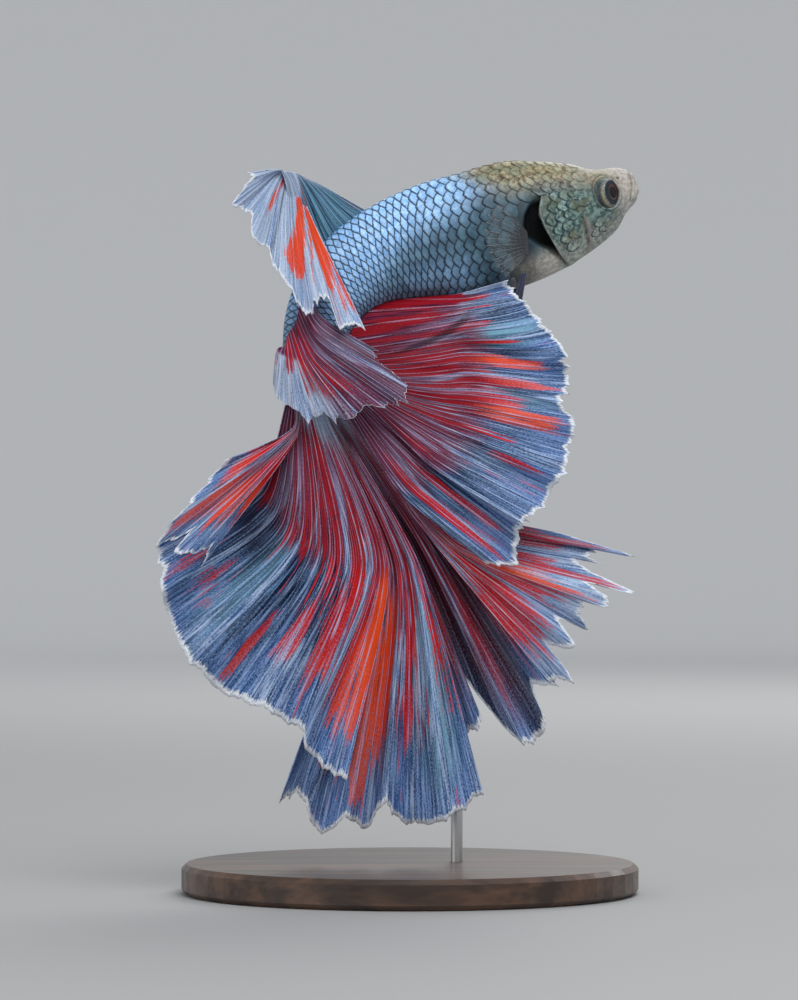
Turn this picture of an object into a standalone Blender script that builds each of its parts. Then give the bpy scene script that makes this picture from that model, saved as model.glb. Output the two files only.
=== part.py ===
"""A betta in mid-turn with its long fins flowing, life-size, held over a round base by one rod.

Frame: +X is the way the head points, -Y is the fish's right side, +Z is up, and the origin is the middle of
the base's underside. The spine is a smooth line through named stations, and the body's sections and the roots
of the fins are placed from it. A fin is a fan of rays. Each ray leaves the body at its root, bends at its
knee and ends at its tip. Knees and tips are given by their angle from straight down, towards the head, and
their distance from the fan's middle, with the depth that they reach away from the right side.
"""

import math

import bmesh
import bpy
import numpy as np
from mathutils import Matrix, Vector

MM = 0.001

# The driving dimension: snout to the root of the tail fin, along the bent spine.
STANDARD_LENGTH = 43.8 * MM
# The fish's own unit, in which all its sizes below are given.
UNIT = STANDARD_LENGTH / 43.8

# Gaps and thicknesses of the solids, in metres.
GAP = 0.3 * MM
FIN_THICKNESS = 0.5 * MM
GILL_THICKNESS = 0.5 * MM

# The display stand, in metres.
BASE_RADIUS = 23 * MM
BASE_HEIGHT = 3 * MM
BASE_BEVEL = 0.5 * MM
ROD_RADIUS = 0.6 * MM
ROD_FIT = 0.12 * MM  # clearance round the rod in the base
ROD_DEPTH_IN_BASE = 2 * MM
ROD_DEPTH_IN_BELLY = 2 * MM
ROD_SHARE = 0.46  # how far along the spine the rod enters
ROD_AROUND = -152  # degrees round from the back, over the left side

# The spine and the body's sections, from the snout to the root of the tail fin: the place of the axis, the
# height of the back over it, the depth of the belly under it, and the half width.
STATIONS = (
    # x, y, z, back, belly, half width
    (22.65, 2.7, 71.15, 1.0, 0.8, 0.95),  # snout
    (22.25, 2.6, 71.0, 1.55, 1.4, 1.4),  # lips
    (20.9, 2.3, 70.6, 2.3, 2.65, 2.0),  # nostrils
    (19.3, 1.95, 70.1, 2.8, 4.05, 2.6),  # eyes
    (16.0, 1.3, 69.15, 4.2, 5.45, 3.15),  # cheek
    (12.0, 0.7, 68.05, 5.45, 6.5, 3.5),  # gill edge
    (8.0, 0.2, 67.2, 5.75, 7.0, 3.55),  # shoulder
    (3.0, 0.0, 66.1, 5.6, 6.6, 3.4),  # middle of the trunk
    (-1.0, -0.2, 64.9, 5.1, 5.6, 3.1),  # front of the dorsal fin
    (-4.6, -0.8, 63.2, 4.5, 4.6, 2.65),
    (-7.4, -1.9, 60.7, 4.1, 4.0, 2.25),
    (-9.1, -3.4, 57.4, 3.7, 3.55, 1.85),
    (-9.8, -4.9, 54.1, 3.3, 3.2, 1.5),
    (-9.9, -6.2, 51.0, 2.9, 2.9, 1.15),  # root of the tail fin
)
TAIL_LEAN = 30  # degrees that the back leans towards the right side at the tail
LEAN_FROM = 0.5  # share of the spine where that lean begins

# Where the body's nodes meet, as shares of the spine.
HEAD_END = 0.262
TRUNK_MIDDLE = 0.53
TRUNK_END = 0.80
BODY_SIDES = 20

# The eyes: share of the spine and places relative to its axis.
EYE_SHARE = 0.078
EYE_HEIGHT = 0.2
EYE_OUT = 1.75
EYE_RADIUS = 1.55
EYE_BULGE = 0.95

# The lower jaw: where its upper edge ends behind, and how steeply that edge rises to the mouth.
JAW_HINGE = (19.2, 0.0, 67.15)
JAW_SLOPE = 37
JAW_BACK = 0.14  # share of the spine behind all of it

# The gill covers, as shares of the spine and degrees round from the back.
GILL_FRONT, GILL_REAR = 0.155, 0.238
GILL_TOP, GILL_BOTTOM = 61, 153
GILL_RECESS = 0.85
GILL_FLARE = 0.4

# The fins' fans. Rows of knees and tips hold an angle, a distance and a depth, and stand evenly from the
# first ray to the last. Pleats are waves in depth: how many, how high and where they start.
TAIL_MIDDLE = (-9.4, -6.2, 50.3)
TAIL_LOBES = {
    # root: where it starts and ends over the tail's end, from back to belly, and how far to the right it is
    "tail_fin_upper": {
        "root": (0.02, 0.17, 0.82),
        "knees": ((-31, 4.2, -2.1), (-22, 5.0, -2.0)),
        "tips": (
            (-53, 12.0, -2.8), (-50.5, 15.6, -3.6), (-48.5, 19.2, -4.4), (-46, 22.4, -4.6),
            (-43, 21.3, -4.4), (-41, 22.3, -4.0), (-37.5, 21.3, -3.9), (-33, 21.9, -3.4),
        ),
        "pleats": ((2, 0.45, 0.1),),
        "columns": 7,
        "rows": 7,
    },
    "tail_fin_left": {
        "root": (0.12, 0.48, 0.02),
        "knees": ((-22, 12.5, -1.0), (-11, 14.5, -1.3), (4, 16.5, -1.6), (17, 18, -1.4), (23, 18.6, -1.2)),
        "tips": (
            (-46, 22.3, -0.6), (-40.5, 24.3, -0.9), (-35.8, 26.3, 0.2), (-28.9, 28.9, 1.3),
            (-21.3, 31.1, 1.2), (-14, 32.4, 2.0), (-7.2, 32.7, 1.4), (-2.2, 34.4, 2.1), (-2.0, 35.9, 0.4),
            (1.6, 38.1, 0.7), (4.4, 39.2, -0.9),
        ),
        "pleats": ((5, 0.55, 0.0), (2, 0.4, 0.3)),
        "columns": 20,
        "rows": 8,
    },
    "tail_fin_middle": {
        "root": (0.44, 0.60, -0.78),
        "knees": ((14, 17.5, 0.8), (23, 19.0, 0.8), (31, 20.0, 0.4)),
        "tips": (
            (-5.2, 41.6, 3.6), (-2.6, 41.0, 4.6), (0.2, 44.4, 4.4), (3.8, 43.4, 3.0), (6.5, 44.3, 3.9),
            (9.3, 42.4, 2.6), (12.2, 44.9, 4.3), (17.2, 44.9, 2.6), (22.5, 44.1, 4.4),
        ),
        "pleats": ((4, 0.6, 0.2),),
        "columns": 16,
        "rows": 8,
    },
    "tail_fin_low": {
        "root": (0.70, 0.78, -0.78),
        "knees": ((30, 17.0, 2.6), (35, 19.0, 2.6), (41, 19.5, 2.8)),
        "tips": (
            (23.4, 38.2, 5.4), (26.6, 37.3, 4.3), (27.4, 33.6, 5.6), (29.6, 40.0, 6.6), (31.4, 41.9, 6.2),
            (34.6, 41.1, 5.4), (36.2, 37.4, 5.9), (39.5, 38.4, 6.6),
        ),
        "pleats": ((3, 0.5, 0.4),),
        "columns": 14,
        "rows": 7,
    },
    "tail_fin_right": {
        "root": (0.76, 0.92, 0.02),
        "knees": ((38, 16.5, 0.8), (45, 17.0, 1.0), (51, 17.5, 1.9)),
        "tips": (
            (38.8, 38.2, 3.2), (41.9, 39.2, 2.4), (42.6, 35.4, 2.8), (45.6, 36.9, 2.0), (47.4, 34.4, 3.0),
            (49.2, 36.9, 3.4), (51.8, 34.6, 2.2), (54.2, 37.2, 2.4), (56.0, 35.0, 3.4), (58.0, 38.6, 4.2),
            (57.6, 32.0, 5.6), (59.4, 33.8, 6.6), (60.9, 32.6, 7.2), (63.2, 37.3, 8.6), (60.6, 29.4, 6.6),
            (57.4, 26.0, 4.6),
        ),
        "pleats": ((3, 0.4, 0.15),),
        "columns": 15,
        "rows": 7,
    },
    "tail_fin_front": {
        "root": (0.86, 0.98, 0.82),
        "knees": ((40, 13.0, -0.7), (61, 13.0, 0.0)),
        "tips": ((44.8, 24.6, -0.1), (49.2, 26.8, -0.6), (53.2, 25.5, 0.2), (58.6, 25.0, -0.4)),
        "pleats": ((2, 0.35, 0.5),),
        "columns": 9,
        "rows": 6,
    },
}

ANAL_MIDDLE = (-6.0, -5.0, 53.5)
ANAL_KNEES = (
    (119.9, 13.9, 2.0), (114, 11.8, 1.0), (99.6, 10.8, 0.2), (83.5, 10.6, -0.6), (67.3, 11.4, -1.2),
    (52.8, 12.6, -2.1), (41.4, 13.6, -3.0),
)
ANAL_TIPS = (
    (116.5, 17.9, 0.6), (110.5, 18.3, 0.2), (106, 18.9, -0.4), (98.5, 20.4, -1.3), (91.2, 21.8, -1.6),
    (86.2, 22.2, -1.0), (81.8, 22.2, -1.9), (77.6, 21.7, -2.7), (74.8, 23.7, -2.4), (70.4, 23.8, -1.8),
    (66.2, 24.1, -2.5), (61.5, 24.6, -3.2), (57, 24.2, -2.5), (52.5, 24.5, -3.2), (46.5, 24.0, -3.4),
)
ANAL_PLEATS = ((6, 0.32, 0.0), (2, 0.3, 0.35))
ANAL_CROWDING = 4

DORSAL_MIDDLE = (-11.7, -6.0, 71.5)
DORSAL_KNEES = ((98, 0.7, 3.9), (130, 0.6, 2.4), (180, 0.5, 0.8), (225, 0.8, -0.6), (243, 1.1, -1.6))
DORSAL_TIPS = (
    (25.5, 17.0, -3.6), (20.6, 16.1, -3.3), (17.4, 16.5, -3.7), (17.0, 13.4, -3.3), (13.8, 12.8, -3.1),
    (10.1, 13.4, -3.4), (8.2, 14.7, -3.6), (4.1, 14.1, -3.4), (0.4, 11.7, -3.0), (-8.0, 10.3, -3.1),
    (-18, 8.2, -2.3), (-32, 7.6, -2.6), (-48, 6.0, -2.0), (-63, 7.1, -2.5), (-78, 5.0, -1.8),
    (-94, 5.0, -2.2),
)
DORSAL_PLEATS = ((5, 0.32, 0.1),)

DORSAL_REAR_MIDDLE = (-12.0, -6.5, 59.0)
DORSAL_REAR_KNEES = ((68, 3.4, -1.4), (40, 4.6, -2.2), (22, 6.4, -2.7))
DORSAL_REAR_TIPS = (
    (61.5, 10.6, -2.0), (57.0, 11.2, -2.5), (55.5, 14.9, -2.4), (49.5, 15.6, -3.0), (46, 15.6, -2.8),
    (38.0, 14.6, -3.2), (26.0, 14.4, -3.0),
)

# The tips of the paired fins' rays: how far ahead, outwards and up they reach from the root.
PECTORAL_TIPS = (
    (-2.8, 4.4, 3.4), (-4.2, 5.4, 3.0), (-5.1, 5.9, 1.8), (-5.2, 6.0, 0.3), (-4.7, 5.5, -1.1),
    (-3.7, 4.6, -2.2),
)
PELVIC_TIPS = ((-3.4, 0.4, -8.6), (-5.2, 0.6, -11.6), (-5.0, 0.4, -9.4))


# --- curves ---------------------------------------------------------------------------------------------


def through(keys, values, at):
    """Smooth values at places `at`, on a curve through `values` at `keys`."""
    keys, values = np.asarray(keys, float), np.asarray(values, float)
    slopes = np.gradient(values, keys, axis=0)
    at = np.clip(np.asarray(at, float), keys[0], keys[-1])
    span = np.clip(np.searchsorted(keys, at, side="right") - 1, 0, len(keys) - 2)
    width = (keys[span + 1] - keys[span])[:, None]
    t = (at - keys[span]) / width[:, 0]
    return hermite(values[span], values[span + 1], slopes[span] * width, slopes[span + 1] * width, t)


def hermite(start, end, leave, arrive, t):
    """The smooth curve from start to end with the given tangents there."""
    t = t[:, None]
    return (
        (2 * t**3 - 3 * t**2 + 1) * start
        + (t**3 - 2 * t**2 + t) * leave
        + (3 * t**2 - 2 * t**3) * end
        + (t**3 - t**2) * arrive
    )


def smooth_step(low, high, x):
    t = np.clip((np.asarray(x, float) - low) / (high - low), 0, 1)
    return t * t * (3 - 2 * t)


def unit(vectors):
    return vectors / np.linalg.norm(vectors, axis=-1, keepdims=True)


def smoothly(rows, u):
    """Values at u of a smooth curve through rows that stand evenly from 0 to 1."""
    return through(np.linspace(0, 1, len(rows)), rows, u).T


def straight(rows, u):
    """Values at u of straight lines between rows that stand evenly from 0 to 1."""
    return np.array([np.interp(u, np.linspace(0, 1, len(rows)), column) for column in np.array(rows).T])


# --- the body's shape -----------------------------------------------------------------------------------


class Spine:
    """The line through STATIONS by its share from the snout, 0, to the root of the tail fin, 1."""

    def __init__(self, samples=400):
        keys = np.arange(len(STATIONS))
        self.rows = through(keys, STATIONS, np.linspace(0, keys[-1], samples)) * UNIT
        steps = np.linalg.norm(np.diff(self.rows[:, :3], axis=0), axis=1)
        self.shares = np.concatenate([[0], np.cumsum(steps)]) / steps.sum()

    def row(self, share):
        return np.stack([np.interp(share, self.shares, column) for column in self.rows.T], axis=-1)

    def frame(self, share):
        """The axis point and the directions to the head, the right side and the back at each share."""
        step = 0.01
        ahead, behind = self.row(np.maximum(share - step, 0)), self.row(np.minimum(share + step, 1))
        forward = unit(ahead[:, :3] - behind[:, :3])
        shown = np.array([0.0, -1.0, 0.0])
        right = unit(shown - (forward @ shown)[:, None] * forward)
        back = np.cross(right, forward)
        lean = np.radians(TAIL_LEAN * smooth_step(LEAN_FROM, 1, share))[:, None]
        leaning_back = back * np.cos(lean) + right * np.sin(lean)
        return self.row(share)[:, :3], forward, np.cross(forward, leaning_back), leaning_back

    def place(self, share):
        """The same at one share."""
        return [row[0] for row in self.frame(np.array([share]))]


SPINE = Spine()


def gill_window(share, around):
    """1 on the sides under the gill covers, falling to 0 round them, where the head is drawn in."""
    along = smooth_step(GILL_FRONT - 0.02, GILL_FRONT, share)
    down = smooth_step(GILL_TOP - 20, GILL_TOP - 6, np.abs(around))
    down = down * (1 - smooth_step(GILL_BOTTOM + 8, GILL_BOTTOM + 22, np.abs(around)))
    return along * down * (share < HEAD_END)


def body_points(share, around, lift=0.0, gills=False):
    """Points on the body at degrees round from the back, positive over the right side, and lifted off it.

    gills: whether the head is drawn in where the gill covers lie.
    """
    share, around = np.broadcast_arrays(np.atleast_1d(np.asarray(share, float)), np.asarray(around, float))
    axis, _, right, back = SPINE.frame(share)
    if gills:
        lift = lift - GILL_RECESS * UNIT * gill_window(share, around)
    top, bottom, half = (SPINE.row(share)[:, 3:] + np.reshape(lift, (-1, 1))).T
    angle = np.radians(around)
    keel = 1 + 0.18 * smooth_step(90, 180, np.abs(around))  # the belly is narrower than the back
    side = half * np.sign(np.sin(angle)) * np.abs(np.sin(angle)) ** keel
    rise = np.where(np.cos(angle) > 0, top, bottom) * np.cos(angle)
    return axis + right * side[:, None] + back * rise[:, None]


# --- making objects -------------------------------------------------------------------------------------


def material(name, colour, roughness, metallic=0.0):
    made = bpy.data.materials.new(name)
    made.use_nodes = True
    shader = made.node_tree.nodes["Principled BSDF"]
    shader.inputs["Base Color"].default_value = (*colour, 1)
    shader.inputs["Roughness"].default_value = roughness
    shader.inputs["Metallic"].default_value = metallic
    return made


def add_object(name, bm, finish, sharp_over=180):
    """The object of bm, shaded smooth but for edges that turn by more than sharp_over degrees."""
    mesh = bpy.data.meshes.new(name)
    bmesh.ops.recalc_face_normals(bm, faces=bm.faces[:])
    bm.to_mesh(mesh)
    bm.free()
    mesh.materials.append(finish)
    mesh.shade_smooth()
    mesh.set_sharp_from_angle(angle=math.radians(sharp_over))
    obj = bpy.data.objects.new(name, mesh)
    bpy.context.scene.collection.objects.link(obj)
    return obj


def cut(obj, cutter, operation="DIFFERENCE"):
    """Takes the cutter's shape out of obj, or keeps only what lies in it, and hides the cutter."""
    cutter.hide_render = True
    cutter.display_type = "WIRE"
    boolean = obj.modifiers.new(cutter.name, "BOOLEAN")
    boolean.object = cutter
    boolean.operation = operation
    boolean.solver = "EXACT"


def loft(name, loops, finish):
    """A closed body through loops of points, with flat ends."""
    bm = bmesh.new()
    rings = []
    for loop in loops:
        corners = [bm.verts.new(point) for point in loop]
        rings.append([bm.edges.new(pair) for pair in zip(corners, corners[1:] + corners[:1])])
    for ring, following in zip(rings, rings[1:]):
        bmesh.ops.bridge_loops(bm, edges=ring + following)
    for end in (rings[0], rings[-1]):
        bmesh.ops.contextual_create(bm, geom=end)
    return add_object(name, bm, finish, sharp_over=60)


def sheet(name, place, columns, rows, thickness, finish):
    """A sheet of even thickness. place(u, v) is its middle surface, with u across and v from root to tip."""
    bm = bmesh.new()
    bmesh.ops.create_grid(bm, x_segments=columns, y_segments=rows, size=0.5)
    u, v = np.array([vert.co[:2] for vert in bm.verts]).T + 0.5
    for vert, point in zip(bm.verts, place(u, v)):
        vert.co = point
    made = add_object(name, bm, finish)
    wall = made.modifiers.new("thickness", "SOLIDIFY")
    wall.thickness = thickness
    wall.offset = 0
    return made


def shaped(name, make, matrix, finish, **sizes):
    """A bmesh primitive, turned and sized by a matrix."""
    bm = bmesh.new()
    make(bm, **sizes)
    bmesh.ops.transform(bm, matrix=matrix, verts=bm.verts)
    return add_object(name, bm, finish, sharp_over=35)


def axes_matrix(middle, first, second, third, sizes):
    turn = Matrix((first, second, third)).transposed().to_4x4()
    return Matrix.Translation(middle) @ turn @ Matrix.Diagonal((*sizes, 1))


# --- the body -------------------------------------------------------------------------------------------


def body_length(name, start, end, rings, finish):
    """The body from share `start` to share `end`, with flat ends."""
    around = np.linspace(-180, 180, BODY_SIDES, endpoint=False)
    loops = [body_points(share, around, gills=True) for share in np.linspace(start, end, rings)]
    return loft(name, loops, finish)


def jaw_block(name, clearance, finish):
    """The block that the lower jaw is cut with: below the line from the mouth's corner down to the throat."""
    slope = math.radians(JAW_SLOPE)
    along = Vector((math.cos(slope), 0, math.sin(slope)))
    down = Vector((math.sin(slope), 0, -math.cos(slope)))
    length, depth, width = 9 * UNIT, 6 * UNIT, 9 * UNIT
    hinge = Vector(JAW_HINGE) * UNIT - (along + down) * clearance
    middle = hinge + along * length / 2 + down * depth / 2
    matrix = axes_matrix(middle, along, (0, 1, 0), down, (length, width, depth))
    return shaped(name, bmesh.ops.create_cube, matrix, finish, size=1)


def eye(name, side, clearance, finish):
    """A flattened ball at the side of the head. side: 1 is the right, -1 the left."""
    axis, forward, right, back = SPINE.place(EYE_SHARE)
    middle = axis + side * right * EYE_OUT * UNIT + back * EYE_HEIGHT * UNIT
    sizes = [size * UNIT + clearance for size in (EYE_RADIUS, EYE_BULGE, EYE_RADIUS)]
    matrix = axes_matrix(middle, forward, side * right, back, sizes)
    return shaped(name, bmesh.ops.create_uvsphere, matrix, finish, u_segments=14, v_segments=8, radius=1)


def gill_cover(name, side, finish):
    """The bony plate over the gills, which lifts off the flank along its rear edge."""
    front = GILL_FRONT + GAP / STANDARD_LENGTH

    def place(u, v):
        around = GILL_TOP + (GILL_BOTTOM - GILL_TOP) * u
        # The rear edge reaches furthest back at the middle of the side, and rounds off above and below.
        bow = 1 - 0.14 * ((around - 96) / 36) ** 2 - 0.12 * smooth_step(130, 160, around)
        lift = (GILL_FLARE * v**2 - 0.15) * UNIT
        return body_points(front + (GILL_REAR - front) * bow * v, side * around, lift)

    return sheet(name, place, columns=8, rows=5, thickness=GILL_THICKNESS, finish=finish)


def build_body(skin):
    inset = 0.65 * GAP / STANDARD_LENGTH  # a little over half, for the inner side of the bend
    head = body_length("head", 0, HEAD_END - inset, 18, skin)
    jaw = body_length("lower_jaw", 0, JAW_BACK, 9, skin)
    trunk = body_length("trunk_front", HEAD_END + inset, TRUNK_MIDDLE - inset, 8, skin)
    body_length("trunk_rear", TRUNK_MIDDLE + inset, TRUNK_END - inset, 7, skin)
    body_length("tail_root", TRUNK_END + inset, 1, 6, skin)
    cut(head, jaw_block("jaw_gap", GAP, skin))
    cut(jaw, jaw_block("jaw_part", 0, skin), "INTERSECT")
    return head, trunk


def build_sides_of_head(head, skin, iris):
    for side, label in ((1, "right"), (-1, "left")):
        eye("eye_" + label, side, 0, iris)
        cut(head, eye("socket_" + label, side, GAP, iris))
        gill_cover("gill_cover_" + label, side, skin)


# --- the fins -------------------------------------------------------------------------------------------


def bent_ray(root, knee, tip, v, bend):
    """Points at share v along rays from root through knee to tip. bend: how round the knee is, 0 to 1."""
    first = np.linalg.norm(knee - root, axis=1)
    second = np.linalg.norm(tip - knee, axis=1)
    split = first / (first + second)
    turn = unit(tip - root) * bend
    near = hermite(root, knee, knee - root, turn * first[:, None], np.clip(v / split, 0, 1))
    rest = np.clip((v - split) / (1 - split), 0, 1)
    far = hermite(knee, tip, turn * second[:, None], tip - knee, rest)
    return np.where((v < split)[:, None], near, far)


def polar(middle, angle, distance, depth):
    """Points at an angle from straight down towards the head, a distance and a depth from middle."""
    angle = np.radians(angle)
    offset = np.stack([np.sin(angle) * distance, depth, -np.cos(angle) * distance], axis=-1)
    return (np.array(middle) + offset) * UNIT


def fan(name, root, middle, knees, tips, finish, columns, rows, pleats=(), bend=0.6, pleats_from=0.05):
    """A fin of bent rays. root(u): where each ray leaves the body. Its pleats grow from the share pleats_from
    of each ray to the tip."""

    def place(u, v):
        knee = polar(middle, *smoothly(knees, u))
        tip = polar(middle, *straight(tips, u))
        points = bent_ray(root(u), knee, tip, v, bend)
        for number, height, start in pleats:
            wave = np.sin(2 * math.pi * (number * u + start)) * height * UNIT
            points[:, 1] += wave * smooth_step(pleats_from, 1, v) ** 0.8
        return points

    return sheet(name, place, columns, rows, FIN_THICKNESS, finish)


def along_body(start, end, around, crowding=1):
    """A fin's root along the body from share `start` to share `end`, clear of it. Over 1, crowding draws its
    rays together towards the end."""
    lift = 1.3 * GAP + FIN_THICKNESS / 2
    return lambda u: body_points(end + (start - end) * (1 - u) ** crowding, around, lift)


def across_tail(start, end, side):
    """A lobe's root over the end of the tail, clear of it. side: how far to the right."""
    axis, forward, right, back = SPINE.place(1.0)
    height, depth = SPINE.row(1.0)[3:5] * 0.9
    end_face = axis - forward * 1.5 * GAP + right * side * UNIT
    return lambda u: end_face + back * (height - (height + depth) * (start + (end - start) * u))[:, None]


def side_fin(name, side, shares, arounds, tips, columns, rows, bow, finish):
    """A paired fin. bow: how far its rays curve outwards on their way."""
    _, forward, right, back = SPINE.place(shares[0])
    axes = np.stack([forward, side * right, back])

    def place(u, v):
        share = shares[0] + (shares[1] - shares[0]) * u
        around = side * (arounds[0] + (arounds[1] - arounds[0]) * u)
        root = body_points(share, around, GAP + FIN_THICKNESS / 2)
        reach = straight(tips, u).T @ axes * v[:, None]
        return root + (reach + side * right * (bow * v * (1 - v))[:, None]) * UNIT

    return sheet(name, place, columns, rows, FIN_THICKNESS, finish)


def build_fins(fin, clear):
    for name, lobe in TAIL_LOBES.items():
        fan(
            name, across_tail(*lobe["root"]), TAIL_MIDDLE, lobe["knees"], lobe["tips"], fin,
            lobe["columns"], lobe["rows"], lobe["pleats"],
        )
    fan(
        "anal_fin", along_body(0.48, 0.955, 180, ANAL_CROWDING), ANAL_MIDDLE, ANAL_KNEES, ANAL_TIPS, fin,
        28, 7, ANAL_PLEATS,
    )
    fan(
        "dorsal_fin", along_body(0.60, 0.79, 0), DORSAL_MIDDLE, DORSAL_KNEES, DORSAL_TIPS, fin, 15, 12,
        DORSAL_PLEATS, bend=0.5, pleats_from=0.45,
    )
    fan(
        "dorsal_fin_rear", along_body(0.82, 0.93, 0), DORSAL_REAR_MIDDLE, DORSAL_REAR_KNEES,
        DORSAL_REAR_TIPS, fin, 6, 7,
    )
    for side, label in ((1, "right"), (-1, "left")):
        side_fin("pectoral_fin_" + label, side, (0.283, 0.287), (104, 124), PECTORAL_TIPS, 10, 4, 1.4, clear)
        side_fin("pelvic_fin_" + label, side, (0.295, 0.32), (146, 146), PELVIC_TIPS, 4, 7, -0.6, fin)


# --- the stand ------------------------------------------------------------------------------------------


def bar(name, radius, low, high, place, finish, sides=16):
    """An upright round bar from height low to height high."""
    matrix = Matrix.Translation((place[0], place[1], (low + high) / 2))
    return shaped(
        name, bmesh.ops.create_cone, matrix, finish, cap_ends=True, segments=sides, radius1=radius,
        radius2=radius, depth=high - low,
    )


def build_stand(trunk, wood, steel):
    """A disc with bevelled rims, and a rod up from it into the belly, seated in a bore at each end."""
    base = bar("stand_base", BASE_RADIUS, 0, BASE_HEIGHT, (0, 0), wood, sides=48)
    rims = base.modifiers.new("rims", "BEVEL")
    rims.width = BASE_BEVEL
    rims.segments = 1
    entry = body_points(ROD_SHARE, ROD_AROUND)[0]
    foot, top = BASE_HEIGHT - ROD_DEPTH_IN_BASE, entry[2] + ROD_DEPTH_IN_BELLY
    bar("stand_rod", ROD_RADIUS, foot, top, entry, steel)
    cut(trunk, bar("belly_bore", ROD_RADIUS + GAP, entry[2] - 2 * MM, top + GAP, entry, wood))
    cut(base, bar("base_bore", ROD_RADIUS + ROD_FIT, foot - ROD_FIT, BASE_HEIGHT + MM, entry, wood))


def main():
    for obj in list(bpy.data.objects):
        bpy.data.objects.remove(obj)
    skin = material("scaled skin", (0.33, 0.47, 0.52), 0.35)
    head, trunk = build_body(skin)
    build_sides_of_head(head, skin, material("eye", (0.05, 0.05, 0.06), 0.08))
    build_fins(material("fin", (0.52, 0.12, 0.14), 0.45), material("clear fin", (0.45, 0.42, 0.38), 0.4))
    wood = material("dark wood", (0.10, 0.055, 0.035), 0.4)
    build_stand(trunk, wood, material("steel", (0.6, 0.6, 0.6), 0.3, 1.0))


main()
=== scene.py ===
"""The looks of a life-size betta model on its display stand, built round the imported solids.

Frame: +X is the way the head points, -Y is the fish's right side, +Z is up, and the origin is the middle of
the base's underside. Places on the body are a share of the spine, 0 at the snout and 1 at the root of the
tail fin, and degrees round from the back, positive over the right side. Places on a fin are u, across its
rays, and v, from root to tip. Lengths on the fish are in its own unit, which is a millimetre.
"""

import math

import bpy
import numpy as np
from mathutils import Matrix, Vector


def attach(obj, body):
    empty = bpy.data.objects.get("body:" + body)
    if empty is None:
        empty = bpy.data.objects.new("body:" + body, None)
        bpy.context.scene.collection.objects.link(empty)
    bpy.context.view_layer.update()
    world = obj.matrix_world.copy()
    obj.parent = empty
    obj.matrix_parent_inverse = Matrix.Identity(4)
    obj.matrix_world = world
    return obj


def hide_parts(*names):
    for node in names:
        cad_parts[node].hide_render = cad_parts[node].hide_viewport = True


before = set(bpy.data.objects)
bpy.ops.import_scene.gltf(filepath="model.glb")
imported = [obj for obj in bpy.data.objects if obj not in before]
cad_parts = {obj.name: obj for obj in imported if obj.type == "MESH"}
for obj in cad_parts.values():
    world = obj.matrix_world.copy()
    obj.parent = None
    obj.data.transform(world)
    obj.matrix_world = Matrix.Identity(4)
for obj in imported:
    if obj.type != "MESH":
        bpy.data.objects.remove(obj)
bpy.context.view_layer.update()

# The fish's own unit, in metres, and the length of its spine in that unit.
UNIT = 0.001
LENGTH = 43.8

# The spine and the body's sections, from the snout to the root of the tail fin: the place of the axis, the
# height of the back over it, the depth of the belly under it, and the half width.
STATIONS = (
    # x, y, z, back, belly, half width
    (22.65, 2.7, 71.15, 1.0, 0.8, 0.95),  # snout
    (22.25, 2.6, 71.0, 1.55, 1.4, 1.4),  # lips
    (20.9, 2.3, 70.6, 2.3, 2.65, 2.0),  # nostrils
    (19.3, 1.95, 70.1, 2.8, 4.05, 2.6),  # eyes
    (16.0, 1.3, 69.15, 4.2, 5.45, 3.15),  # cheek
    (12.0, 0.7, 68.05, 5.45, 6.5, 3.5),  # gill edge
    (8.0, 0.2, 67.2, 5.75, 7.0, 3.55),  # shoulder
    (3.0, 0.0, 66.1, 5.6, 6.6, 3.4),  # middle of the trunk
    (-1.0, -0.2, 64.9, 5.1, 5.6, 3.1),  # front of the dorsal fin
    (-4.6, -0.8, 63.2, 4.5, 4.6, 2.65),
    (-7.4, -1.9, 60.7, 4.1, 4.0, 2.25),
    (-9.1, -3.4, 57.4, 3.7, 3.55, 1.85),
    (-9.8, -4.9, 54.1, 3.3, 3.2, 1.5),
    (-9.9, -6.2, 51.0, 2.9, 2.9, 1.15),  # root of the tail fin
)
TAIL_LEAN = 30  # degrees that the back leans towards the right side at the tail
LEAN_FROM = 0.5  # share of the spine where that lean begins

# The eyes: share of the spine, and places relative to its axis.
EYE_SHARE = 0.079
EYE_HEIGHT = 0.12
EYE_OUT = 1.3
EYE_BACK = 0.1
EYE_RADIUS = 1.68
EYE_FORWARD = 0.84  # how far the gaze turns ahead, against one straight out
IRIS = 50.0  # degrees from the gaze to the rim of the iris

# How thick the webs of the unpaired and of the paired fins are.
WEB_THICKNESS, SIDE_WEB_THICKNESS = 0.08, 0.07

# Lines on the head, as pairs of degrees from the back and share of the spine.
MOUTH = ((0, 0.002), (25, 0.006), (90, 0.0135), (132, 0.0262), (180, 0.03))
CHEEK_LINE = (
    (55, 0.166), (78, 0.1625), (92, 0.1575), (104, 0.1525), (117, 0.150), (129, 0.1487), (144, 0.1475),
    (165, 0.151),
)
GILL_EDGE = (
    (40, 0.206), (58, 0.219), (68, 0.2275), (76, 0.235), (89, 0.2462), (101, 0.245), (117, 0.235),
    (138, 0.220), (161, 0.2013), (180, 0.19),
)
# Degrees from the back and how wide the opening behind the gill cover is.
GILL_GAP = (
    (60, 0.1), (70, 0.3), (78, 0.7), (90, 1.15), (106, 1.7), (120, 1.0), (130, 0.5), (145, 0.2), (165, 0.1),
)
NOSTRIL = (0.041, 54)  # share of the spine and degrees from the back
SNOUT_RADIUS = 2.35  # turns degrees there into a length

# --- curves ---


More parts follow.
